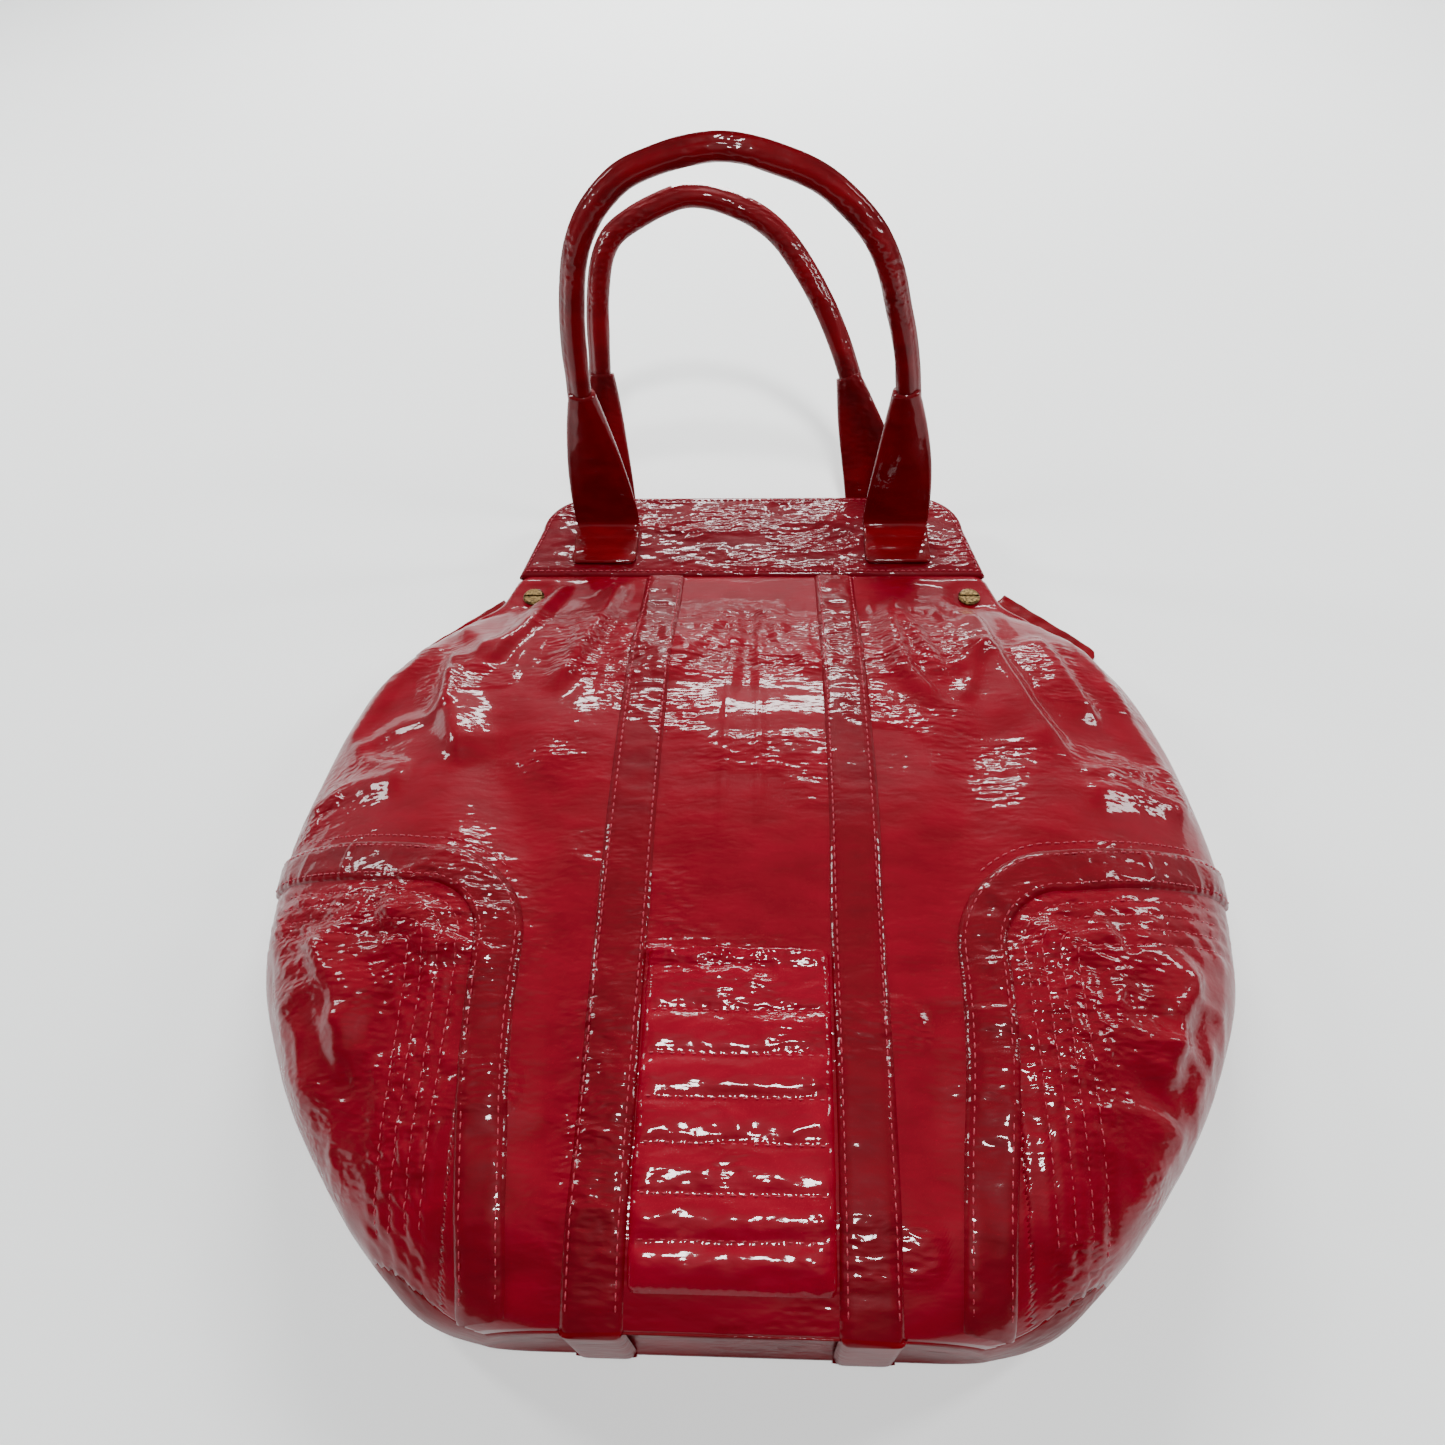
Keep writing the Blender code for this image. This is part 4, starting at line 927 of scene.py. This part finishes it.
def rounded_outline(inset, bottom, steps):
    """Points round a top band, evenly spaced, going anticlockwise from the bottom left."""
    corner = MOUTH_CORNER - inset
    half_low, half_top, top = MOUTH_LOW - inset, MOUTH_HIGH - inset, MOUTH_TOP - inset
    path = [(-half_low, bottom), (half_low, bottom), (half_top, top - corner)]
    for side, angles in ((1, np.linspace(0, 90, ARC_STEPS)[1:]), (-1, np.linspace(90, 180, ARC_STEPS))):
        for angle in angles:
            path.append((side * (half_top - corner) + corner * math.cos(math.radians(angle)),
                         top - corner + corner * math.sin(math.radians(angle))))
    path.append((-half_top, top - corner))
    path.append((-half_low, bottom))
    path = np.array(path)
    run = np.concatenate([[0], np.cumsum(np.linalg.norm(np.diff(path, axis=0), axis=1))])
    at = np.linspace(0, run[-1], steps, endpoint=False)
    return np.stack([np.interp(at, run, path[:, 0]), np.interp(at, run, path[:, 1])], -1)


def edge_distance(x, h):
    """Distance from a top band's edge, inside it."""
    straight = MOUTH_TOP - MOUTH_CORNER - BODY
    half = np.maximum(MOUTH_LOW - (MOUTH_LOW - MOUTH_HIGH) * (h - BODY) / straight, MOUTH_HIGH)
    a = np.abs(x) - (half - MOUTH_CORNER)
    b = h - (MOUTH_TOP - MOUTH_CORNER)
    reach = np.hypot(np.maximum(a, 0), np.maximum(b, 0)) + np.minimum(np.maximum(a, b), 0)
    return np.minimum(MOUTH_CORNER - reach, h - BODY)


print("top bands reach from", BODY, "to", MOUTH_TOP, "mm")

# %% Top bands
BAND_PITCH = 4.2
BAND_CORE = (0.72, 421.0)  # the grid closes on a line: share of the ring's width, and its height
BAND_RINGS = np.concatenate([[0, 0.008, 0.02, 0.04, 0.07], np.linspace(0.10, 1.0, 30)])
# level of the lower and the upper face, which way is out, noise seed and body
TOP_BANDS = {"front": (16.4, 22.5, 1, 81, "front_frame"), "back": (2.9, 9.0, -1, 87, "bag")}


def pillow(x, h, low, high, outwards, seed):
    """Two faces of a top band, rounded together at the rim."""
    inside = np.maximum(edge_distance(x, h), 0)
    middle = (low + high) / 2
    half = (high - low) / 2
    roll = np.sqrt(1 - (1 - np.clip(inside / half, 0, 1)) ** 2)
    run = np.where(inside < np.abs(h - BODY) + 0.01, x + h, x)
    puckers = 0.65 + 0.35 * np.cos(run * 2 * np.pi / BAND_PITCH)
    seam = -0.5 * np.exp(-(((inside - TOPSTITCH) / 1.1) ** 2)) * puckers
    bunches = 0.15 + smooth(-0.3, 0.5, lattice_noise((x + h) / 26, h / 30, seed))
    crinkle = bunches * creased((x + 0.6 * h) / 20, (h - 0.3 * x) / 9, seed + 2)
    crinkle += 0.35 * lattice_noise(x / 28, h / 20, seed + 5)
    detail = (seam + crinkle * smooth(3, 12, inside)) * smooth(0, 3, inside)
    face = middle + outwards * (half * roll + detail)
    facing = middle - outwards * half * roll
    return face, facing


def make_top_band(word, low, high, outwards, seed, body):
    """One closed pillow, from the middle of the facing round the rim to the middle of the face."""
    steps = 300
    ring = rounded_outline(0.0, BODY, steps)
    core = np.stack([ring[:, 0] * BAND_CORE[0], BAND_CORE[1] + 0 * ring[:, 1]], -1)
    grid = np.stack([ring * (1 - t) + core * t for t in BAND_RINGS])
    face, facing = pillow(grid[..., 0], grid[..., 1], low, high, outwards, seed)
    front = np.concatenate([grid, face[..., None]], -1)
    rear = np.concatenate([grid, facing[..., None]], -1)[1:]
    points = np.concatenate([rear[::-1], front])
    faces = grid_faces(points.shape[0], steps, closed=True)
    if outwards < 0:
        faces = faces[:, ::-1]
    make_piece(f"band_leather_{word}", points, faces, BAND_SHADED_PATENT,
               (f"band_{word}", f"facing_{word}"), body)


for word, settings in TOP_BANDS.items():
    make_top_band(word, *settings)
print("top bands", BAND, "mm high, stitched", TOPSTITCH, "mm inside the edge")

# %% [markdown]
# Each handle is leather rolled round a cotton cord and sewn along its outside, which leaves a
# narrow stitched ridge. Its ends are flat leaf-shaped tabs, sewn to the band. The middle line is
# a smooth curve through listed points, because both handles have slumped out of true.

# %% Handle routes
HANDLE_RADIUS = 5.75
TAB_OFFSET = 85.0  # from the middle of the band to the middle of a tab
# (across, out) in shares of the tab offset and of the handle's rise
FRONT_ROUTE = ((-1, 0), (-1.04, .22), (-1.06, .42), (-1.035, .64), (-.93, .82), (-.66, .945),
               (-.18, 1), (.22, .965), (.50, .90), (.75, .78), (.89, .61), (.97, .45), (1.01, .22),
               (1, 0))
BACK_ROUTE = ((-1, 0), (-1, .23), (-.975, .46), (-.96, .70), (-.89, .85), (-.72, .925),
              (-.36, .99), (-.03, .962), (.265, .875), (.535, .695), (.72, .50), (.83, .33),
              (.94, .15), (1, 0))


def smooth_route(points, steps=14):
    """Catmull-Rom curve through the points."""
    p = np.array(points, float)
    p = np.concatenate([[2 * p[0] - p[1]], p, [2 * p[-1] - p[-2]]])
    t = np.linspace(0, 1, steps, endpoint=False)[:, None]
    parts = []
    for i in range(1, len(p) - 2):
        a, b, c, d = p[i - 1:i + 3]
        parts.append(0.5 * (2 * b + (c - a) * t + (2 * a - 5 * b + 4 * c - d) * t ** 2
                            + (3 * b - a - 3 * c + d) * t ** 3))
    parts.append(p[-2][None])
    return np.concatenate(parts)


def handle_line(route, rise, shift, spacing=2.0):
    """Even points along a handle: across (x) and out from the fold line (r), with distances."""
    p = smooth_route([(x * TAB_OFFSET + shift, r * rise) for x, r in route])
    run = np.concatenate([[0], np.cumsum(np.linalg.norm(np.diff(p, axis=0), axis=1))])
    at = np.linspace(0, run[-1], int(run[-1] / spacing) + 1)
    return np.stack([np.interp(at, run, p[:, 0]), np.interp(at, run, p[:, 1])], -1), at


def in_plane(line, off_plane, bend, level, lean):
    """From handle coordinates to bag millimetres: r runs along the leaning plane."""
    x, r = line[..., 0], line[..., 1]
    height = bend + r * math.sin(lean) - off_plane * math.cos(lean)
    return np.stack([x, height, level + r * math.cos(lean) + off_plane * math.sin(lean)], -1)


def unit_tangent(line):
    """Direction of a line at each of its points."""
    tangent = np.gradient(line, axis=0)
    return tangent / np.linalg.norm(tangent, axis=1, keepdims=True)


print("route points:", len(FRONT_ROUTE), "in front and", len(BACK_ROUTE), "behind")

# %% Handle tube
TUBE_START = 52.0  # the tube begins inside the leaf tab, this far from the fold
TUBE_SIDES = 28
RIDGE = 2.5  # how far the sewn edge stands out
RIDGE_WIDTH = 0.20  # radians


def handle_tube(word, line, at, outer, plane, body):
    """Rolled leather round the cord, with the sewn edge as a ridge on the outside."""
    keep = (at > TUBE_START) & (at < at[-1] - TUBE_START)
    angles = np.linspace(0, 2 * np.pi, TUBE_SIDES, endpoint=False)
    ridge = np.exp(-((np.angle(np.exp(1j * angles)) / RIDGE_WIDTH) ** 2))
    wobble = 0.25 * lattice_noise(at[:, None] / 14, angles[None, :] * 1.5, 91)
    ends = np.clip(np.minimum(at - TUBE_START, at[-1] - TUBE_START - at) / 5, 0, 1)[:, None] ** 0.5
    radius = (HANDLE_RADIUS - 0.35 + RIDGE * ridge[None, :] + wobble) * np.maximum(ends, 0.05)
    ring = line[:, None, :] + outer[:, None, :] * (radius * np.cos(angles))[..., None]
    off = radius * np.sin(angles)[None, :] * 0.97
    grid_piece(f"{word}_handle_leather", in_plane(ring, off, *plane)[keep], HANDLE_SHADED_PATENT,
               (f"{word}_handle_cover",), body, closed=True)


print("tube", 2 * HANDLE_RADIUS, "mm thick, with a ridge of", RIDGE, "mm")

# %% [markdown]
# A leaf tab is the hardest piece: it lies flat on the band, bends up at the fold and closes round
# the tube. Its section is a rounded rectangle that turns into a circle on the way, and the whole
# piece is one tube made of three stretches: the sewn foot, a short arc, and the leaf.

# %% Handle tabs
TAB_LENGTH = 90.0
TAB_ACROSS = 36
TAB_AROUND = np.linspace(0, 2 * np.pi, TAB_ACROSS, endpoint=False)
LEAF_HALF = (19.0, 6.6)  # half width at the fold and at the tip
FOOT_END = 396.4  # height of the foot's lower edge
FOOT_SQUARE = 0.55  # power that makes a circle's cosine into a rounded rectangle
FOLD_RADIUS = 3.5
STITCH_ROWS = (13.0, 23.0)  # below the fold


def squared(wave, power):
    """Pushes a sine or cosine towards a square wave."""
    return np.sign(wave) * np.abs(wave) ** power


def leaf_part(line, outer, from_end, plane, seed):
    """The upper leaf, from the fold to the tip round the tube."""
    c, s = np.cos(TAB_AROUND)[None, :], np.sin(TAB_AROUND)[None, :]
    share = from_end / TAB_LENGTH
    ease = share ** 1.8
    half_width = LEAF_HALF[0] * (1 - ease) + LEAF_HALF[1] * ease
    half_thick = 1.6 + 0.9 * smooth(0.12, 0.5, share) + 3.6 * ease
    power = FOOT_SQUARE + (1 - FOOT_SQUARE) * ease[:, None]
    wide = squared(c, power) * half_width[:, None]
    seam = 0.45 * np.exp(-(((np.abs(wide) - (half_width[:, None] - 3.6)) / 1.1) ** 2))
    cord = 2.6 * smooth(0.3, 0.75, share)[:, None] * np.exp(-((wide / 5.5) ** 2)) * (1 - ease[:, None])
    wrinkle = 0.5 * creased(from_end[:, None] / 11, wide / 12, seed)
    thick = squared(s, power) * half_thick[:, None]
    thick = thick + np.sign(s) * (cord - seam + wrinkle) * np.abs(s) ** 0.4
    ring = line[:, None, :] + outer[:, None, :] * wide[..., None]
    return in_plane(ring, thick, *plane)


def foot_part(middle_x, bend, level, side):
    """The foot, sewn flat on the band in two rows."""
    c, s = np.cos(TAB_AROUND), np.sin(TAB_AROUND)
    heights = np.linspace(FOOT_END, bend - FOLD_RADIUS, 24)
    grow = np.minimum(1, np.sqrt(np.clip((heights - FOOT_END + 0.6) / 4, 0.1, 1)))
    wide = squared(c, FOOT_SQUARE) * (15.5 + 3.2 * grow)[:, None] * side
    relief = 0.5 * creased(wide / 7, heights[:, None] / 9, 95)
    for row in STITCH_ROWS:
        near = np.exp(-(((heights - bend + row) / 1.3) ** 2))[:, None]
        relief = relief - 0.6 * near * (0.6 + 0.4 * np.cos(2 * np.pi * wide / STITCH))
    thick = squared(s, FOOT_SQUARE) * (1.4 + np.maximum(relief, -0.8) * (s > 0))
    return np.stack([middle_x + wide + 0 * thick, heights[:, None] + 0 * wide, level - 0.6 + thick], -1)


def fold_part(middle_x, bend, level, lean, side):
    """A short arc between the foot and the leaf."""
    c, s = np.cos(TAB_AROUND), np.sin(TAB_AROUND)
    turns = (math.pi / 2 - lean) * np.array([0.2, 0.4, 0.6, 0.8])
    arc_h = bend - FOLD_RADIUS + FOLD_RADIUS * np.sin(turns)
    arc_z = level - 0.6 + FOLD_RADIUS * (1 - np.cos(turns))
    wide = squared(c, FOOT_SQUARE) * 18.6 * side
    thick = squared(s, FOOT_SQUARE) * 1.5
    return np.stack([middle_x + wide + 0 * turns[:, None],
                     arc_h[:, None] - np.sin(turns)[:, None] * thick[None, :],
                     arc_z[:, None] + np.cos(turns)[:, None] * thick[None, :]], -1)


def handle_tab(word, piece_word, side, line, at, outer, plane):
    """Joins foot, fold and leaf into one piece that bends at the fold."""
    bend, level, lean = plane
    from_end = at if side < 0 else at[-1] - at
    chosen = np.argsort(from_end)
    chosen = chosen[from_end[chosen] <= TAB_LENGTH]
    leaf = leaf_part(line[chosen], outer[chosen], from_end[chosen], plane, 93 + (side > 0))
    middle_x = line[chosen[0], 0]
    foot = foot_part(middle_x, bend, level, side)
    if word == "back":
        foot[..., 2] = np.maximum(foot[..., 2], 0.4)
    points = np.concatenate([foot, fold_part(middle_x, bend, level, lean, side), leaf[2:]])
    tab = grid_piece(f"{word}_handle_tab_leather_{piece_word}", points, HANDLE_SHADED_PATENT,
                     (f"{word}_handle_tab_{piece_word}", f"{word}_handle_anchor_{piece_word}"),
                     closed=True)
    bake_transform(tab)


print("tabs", TAB_LENGTH, "mm long, in", TAB_ACROSS, "columns")

# %% Both handles
# route, rise, shift across, then the plane: height and level of the fold, and how far it leans
HANDLES = {
    "front": (FRONT_ROUTE, 210.0, 0.0, (428.0, 24.7, math.radians(5)), ("front_frame", "front_handle")),
    "back": (BACK_ROUTE, 183.0, -6.5, (458.0, 1.9, math.radians(28)), ("bag", "back_handle")),
}
for word, (route, rise, shift, plane, bodies) in HANDLES.items():
    line, at = handle_line(route, rise, shift)
    tangent = unit_tangent(line)
    outer = np.stack([-tangent[:, 1], tangent[:, 0]], -1)
    handle_tube(word, line, at, outer, plane, bodies[1])
    for side, piece_word in ((-1, "left"), (1, "right")):
        handle_tab(word, piece_word, side, line, at, outer, plane)
    print(word, "handle:", round(float(at[-1])), "mm")

# %% [markdown]
# A side tab is a short double-sewn strip that sticks out from behind each shoulder. It is leather
# on both faces, so it is a closed strip with a stitch groove along each edge.

# %% Side tabs
TAB_INNER = (134.0, 373.0)  # (across, height) of the sewn end's middle
TAB_OUTER = (182.0, 328.0)
TAB_HALF = 12.6
ROUND_FROM = 0.72  # share of the length where the end starts to round


def make_side_tab(side, shift):
    """A flat strip with a rounded end, moved out and up by the shift."""
    inner = np.array(TAB_INNER) + shift
    outer = np.array(TAB_OUTER) + shift
    length = float(np.linalg.norm(outer - inner))
    along = (outer - inner) / length
    sideways = np.array([-along[1], along[0]])
    t = np.linspace(0, 1, 34)
    rounding = ((t - ROUND_FROM) / (1 - ROUND_FROM)) ** 6 * (t > ROUND_FROM)
    half = TAB_HALF * np.sqrt(np.clip(1 - rounding, 0.02, 1))
    around = np.linspace(0, 2 * np.pi, 40, endpoint=False)
    wide = squared(np.cos(around), 0.6) * half[:, None]
    place = inner + along * (t * length)[:, None]
    x = place[:, None, 0] + sideways[0] * wide
    h = place[:, None, 1] + sideways[1] * wide
    groove = stitch_groove(wide, (t * length)[:, None], 8.8, 4.0, 0.4)
    relief = 0.6 * creased(t[:, None] * length / 9, wide / 8, 97) + groove
    top = np.where(np.sin(around) > 0, 1.0, 0.0)
    level = 1.5 + squared(np.sin(around), 0.5) + top * np.maximum(relief, -0.7)
    return np.stack([side * x, h, level], -1)


# The side tabs take the painted-shade copy of the red.
for side, word, shift in ((-1, "left", (4.0, 5.0)), (1, "right", (6.0, 9.0))):
    grid_piece(f"side_tab_leather_{word}", make_side_tab(side, shift), PAINTED_SHADE_PATENT,
               (f"side_tab_{word}",), f"side_tab_{word}", closed=True)
print("side tabs", 2 * TAB_HALF, "mm wide")

# %% [markdown]
# The lining is a thin twill bag inside the leather one. It shows only when the frame opens. It is
# made on the same surface, three millimetres further in, in a front half and a back.

# %% Lining
LINING_DEPTH = 3.2
LINING_LOWEST = 5.6
for word, low, high in (("front", -np.pi / 2, np.pi / 2), ("back", np.pi / 2, 3 * np.pi / 2)):
    heights = np.concatenate([np.arange(4, 384, 4.0), [386.0]])
    t, h = np.meshgrid(np.linspace(low, high, 120), heights)
    points, _ = lifted(h, t, -LINING_DEPTH)
    points[..., 0] *= 1 - 3.0 / np.maximum(curve(OUTLINE, h), 1)
    points[..., 2] = np.maximum(points[..., 2], LINING_LOWEST)
    cloth = grid_piece(f"lining_cloth_{word}", points, LINING_TWILL, ("lining",))
    if word == "front":
        flex(cloth)
    else:
        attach(cloth, "bag")
print("lining hung", LINING_DEPTH, "mm inside the leather")

# %% [markdown]
# Stitches are small real capsules, one mesh for each part that they move with. Each row is given
# as a line on the leather with its surface direction, and the stitches sit half sunk in it.

# %% A row of stitches
STITCH_LENGTH = 2.8
THREAD_RADIUS = 0.36  # thicker than real thread, so that the rows show
# (place along half a stitch, size) of the rings that make one capsule
CAPSULE = ((-1, 0.25), (-0.8, 0.8), (0, 1.0), (0.8, 0.8), (1, 0.25))
CAPSULE_SIDES = 6
CAPSULE_POINTS = len(CAPSULE) * CAPSULE_SIDES


def stitch_row(points, normals, pitch=STITCH, radius=THREAD_RADIUS):
    """Capsule vertices and faces along a line of points in bag millimetres."""
    points = np.asarray(points, float)
    run = np.concatenate([[0], np.cumsum(np.linalg.norm(np.diff(points, axis=0), axis=1))])
    count = int(run[-1] / pitch)
    middle = (np.arange(count) + 0.5) * pitch

    def at(where, values):
        return np.stack([np.interp(where, run, values[:, i]) for i in range(3)], -1)

    normal = at(middle, normals)
    along = at(middle + STITCH_LENGTH / 2, points) - at(middle - STITCH_LENGTH / 2, points)
    along = along / np.maximum(np.linalg.norm(along, axis=1, keepdims=True), 1e-9)
    side = np.cross(normal, along)
    side /= np.maximum(np.linalg.norm(side, axis=1, keepdims=True), 1e-9)
    up = np.cross(along, side)
    centre = at(middle, points) + up * 0.15
    vertices = []
    for share, size in CAPSULE:
        sink = -0.35 * abs(share) ** 3
        for angle in np.arange(CAPSULE_SIDES) * math.pi / 3:
            vertices.append(centre + along * (share * STITCH_LENGTH / 2)
                            + side * (math.cos(angle) * radius * size)
                            + up * (math.sin(angle) * radius * size + sink))
    vertices = np.stack(vertices, 1).reshape(-1, 3)
    faces = grid_faces(len(CAPSULE), CAPSULE_SIDES, closed=True)
    all_faces = (faces[None] + CAPSULE_POINTS * np.arange(count)[:, None, None]).reshape(-1, 4)
    return vertices, all_faces


def thread_piece(name, stitched_rows, body=None):
    """Joins rows of stitches into one piece."""
    vertices, faces, start = [], [], 0
    for v, f in stitched_rows:
        vertices.append(v)
        faces.append(f + start)
        start += len(v)
    print(name, "has", start // CAPSULE_POINTS, "stitches")
    return make_piece(name, np.concatenate(vertices), np.concatenate(faces), THREAD,
                      (), body)


print("a stitch is", STITCH_LENGTH, "mm long")

# %% Where the rows run
OUTER_ROW = -13.0  # this row runs outside the D, above the curved band
POCKET_ROW = 34.0  # half the length of a row across the pocket
bag_rows, bend_rows = [], []


def strap_rows(side):
    """Two rows down the front and two under the back."""
    for edge in (-STRAP_STITCH, STRAP_STITCH):
        h = np.arange(6, 386, 1.5)
        x = side * STRAP_OFFSET + edge + 0 * h
        p, n = lifted(h, turn_of(x, h), strap_lift(edge + 0 * h, h) + 0.1)
        bend_rows.append(stitch_row(p, n))
        h = np.arange(6, 382, 6.0)
        p = np.stack([x[0] + 0 * h, h, 0.15 + 0 * h], -1)
        bag_rows.append(stitch_row(p, np.tile([0, 0, -1.0], (len(h), 1)), radius=0.3))


def curved_band_rows(side):
    """A row along each edge of a curved band, starting a little above the base."""
    x, h = curved_grids[side]
    for edge in (-BAND_STITCH, BAND_STITCH):
        column = int(np.argmin(np.abs(BAND_ACROSS - edge)))
        lift = rolled(edge, BAND_HALF) - 0.15
        p, n = lifted(h[:, column], turn_of(x[:, column], h[:, column]), lift)
        bag_rows.append(stitch_row(p[3:], n[3:]))


def patch_row(side, row):
    """A row that follows the D at a distance inside it, or outside it above the band."""
    spacing = 1.5
    shrink = PATCH_CORNER - row
    middle_x, middle_h = PATCH_SIDE + PATCH_CORNER, PATCH_TOP - PATCH_CORNER
    heights = np.arange(30, middle_h, spacing)
    turn = np.radians(np.arange(180, 90, -spacing / max(shrink, 6) * TO_DEGREES))
    outs = np.arange(middle_x, 205, spacing)
    x = np.concatenate([PATCH_SIDE + row + 0 * heights, middle_x + shrink * np.cos(turn), outs])
    h = np.concatenate([heights, middle_h + shrink * np.sin(turn),
                        PATCH_TOP - row + CLIMB * (outs - PATCH_SIDE - PATCH_CORNER)])
    if row < 0:
        x, h = x[h > PATCH_TOP], h[h > PATCH_TOP]
    p, n = lifted(h, turn_of(side * x, h), 0.0)
    bag_rows.append(stitch_row(p, n, radius=0.34))


for side in (-1, 1):
    strap_rows(side)
    curved_band_rows(side)
for side in (-1, 1):
    for row in ROWS + (OUTER_ROW,):
        patch_row(side, row)
for channel in POCKET_CHANNELS[:-1]:
    x = np.linspace(-POCKET_ROW, POCKET_ROW, 60)
    p, n = lifted(channel + 0 * x, turn_of(x, channel), 1.75)
    bag_rows.append(stitch_row(p, n, pitch=4.0))
thread_piece("thread_on_body", bag_rows, "bag")
flex(thread_piece("thread_on_straps", bend_rows))

# %% Stitches round the top bands
for word, (low, high, outwards, seed, body) in TOP_BANDS.items():
    ring = rounded_outline(TOPSTITCH, BODY + TOPSTITCH, 420)
    face, _ = pillow(ring[:, 0], ring[:, 1], low, high, outwards, seed)
    p = np.column_stack([ring, face + 0.25 * outwards])
    p = np.concatenate([p, p[:1]])
    normals = np.tile([0, 0, float(outwards)], (len(p), 1))
    thread_piece(f"thread_on_{word}_band", [stitch_row(p, normals)], body)

# %% [markdown]
# The steel frame, its hinges, magnets and screws are already exactly shaped in the CAD frame, so
# they stay and only get their finishes. The base board and handle cords stay too, out of sight.

# %% Finishes for the carried-over parts


def finish_nodes(material, *starts):
    """Gives a finish to every CAD node whose name starts in one of these ways."""
    count = 0
    for name, item in frame["nodes"].items():
        if name.startswith(starts):
            item.data.materials.clear()
            item.data.materials.append(material)
            count += 1
    return count


print("brass:", finish_nodes(BRASS, "screw_", "post_", "hinge_rivet"))
print("steel:", finish_nodes(STEEL, "frame_bar", "magnet_", "hinge_washer"))
print("board and cord:", finish_nodes(BOARD, "base_board"),
      finish_nodes(CORD, "front_handle_core", "back_handle_core"))

# %% [markdown]
# The bag lies on a pale sweep: paper that runs along the floor and curves up into a backdrop with
# no corner. Paper is matt, with only the faintest unevenness.

# %% Floor
FLOOR_LEVEL = -0.0005  # half a millimetre under the straps, so that the two never flicker
SWEEP_HALF = 6.0
SWEEP_BEND = 1.5  # where the paper starts to rise
SWEEP_RADIUS = 0.8
sweep_profile = [(-SWEEP_HALF, FLOOR_LEVEL), (SWEEP_BEND, FLOOR_LEVEL)]
for degrees in range(6, 91, 6):
    turn = math.radians(degrees)
    sweep_profile.append((SWEEP_BEND + SWEEP_RADIUS * math.sin(turn),
                          SWEEP_RADIUS * (1 - math.cos(turn)) + FLOOR_LEVEL))
sweep_profile.append((SWEEP_BEND + SWEEP_RADIUS, 3.0))
vertices = [(x, y, z) for y, z in sweep_profile for x in (-SWEEP_HALF, SWEEP_HALF)]
sweep = bpy.data.meshes.new("sweep")
sweep.from_pydata(vertices, [], [(2 * i, 2 * i + 1, 2 * i + 3, 2 * i + 2)
                                 for i in range(len(sweep_profile) - 1)])
sweep.shade_smooth()
PAPER = simple_finish("pale paper", "#f4f6f5", "#f7f9f8", 3, {"Roughness": 0.9})
sweep.materials.append(PAPER)
floor = bpy.data.objects.new("floor_sweep", sweep)
bpy.context.collection.objects.link(floor)
print("sweep with", len(sweep_profile), "lines")

# %% [markdown]
# Patent leather shows its lights as reflections. Small strong boxes give crisp flecks and leave
# the colour deep, while a bright sky all round would wash it pink. One long box stands beyond the
# handles and lights every fold that faces it, and the one above shows on the pocket's channels.

# %% Lights


def softbox(name, place, aim, width, height, watts):
    """A rectangular area light, in metres and watts, that faces its aim."""
    light = bpy.data.lights.new(name, "AREA")
    light.shape = "RECTANGLE"
    light.size = width
    light.size_y = height
    light.energy = watts
    item = bpy.data.objects.new(name, light)
    item.location = place
    item.rotation_euler = (Vector(aim) - Vector(place)).to_track_quat("-Z", "Y").to_euler()
    bpy.context.collection.objects.link(item)
    print(name, watts, "W")


softbox("box_beyond", (0.0, 1.35, 0.80), (0, 0.1, 0), 0.9, 0.16, 30)
softbox("box_left", (-1.3, 0.5, 0.8), (0, 0, 0), 0.2, 0.5, 12)
softbox("box_right", (1.3, 0.4, 0.8), (0, 0, 0), 0.2, 0.5, 12)
softbox("box_above", (0.1, -0.5, 1.9), (0, 0, 0), 0.25, 0.25, 38)

world = bpy.data.worlds.new("studio")
world.use_nodes = True
world.node_tree.nodes["Background"].inputs["Color"].default_value = to_linear("#e2e6ec")
world.node_tree.nodes["Background"].inputs["Strength"].default_value = 0.13
bpy.context.scene.world = world

# %% [markdown]
# The camera stands over the base and looks down towards the handles, close enough that the base
# looks larger than the mouth. Its place and lens were fitted to the bag's known proportions.

# %% Camera
camera_data = bpy.data.cameras.new("camera")
camera_data.lens = 27.03
camera_data.sensor_width = 36.0
camera = bpy.data.objects.new("camera", camera_data)
camera.location = (0.01237, -0.32729, 0.46962)
camera.rotation_euler = (math.radians(36.91), math.radians(1.87), math.radians(1.76))
bpy.context.collection.objects.link(camera)
bpy.context.scene.camera = camera
print("camera", [round(v, 3) for v in camera.location])
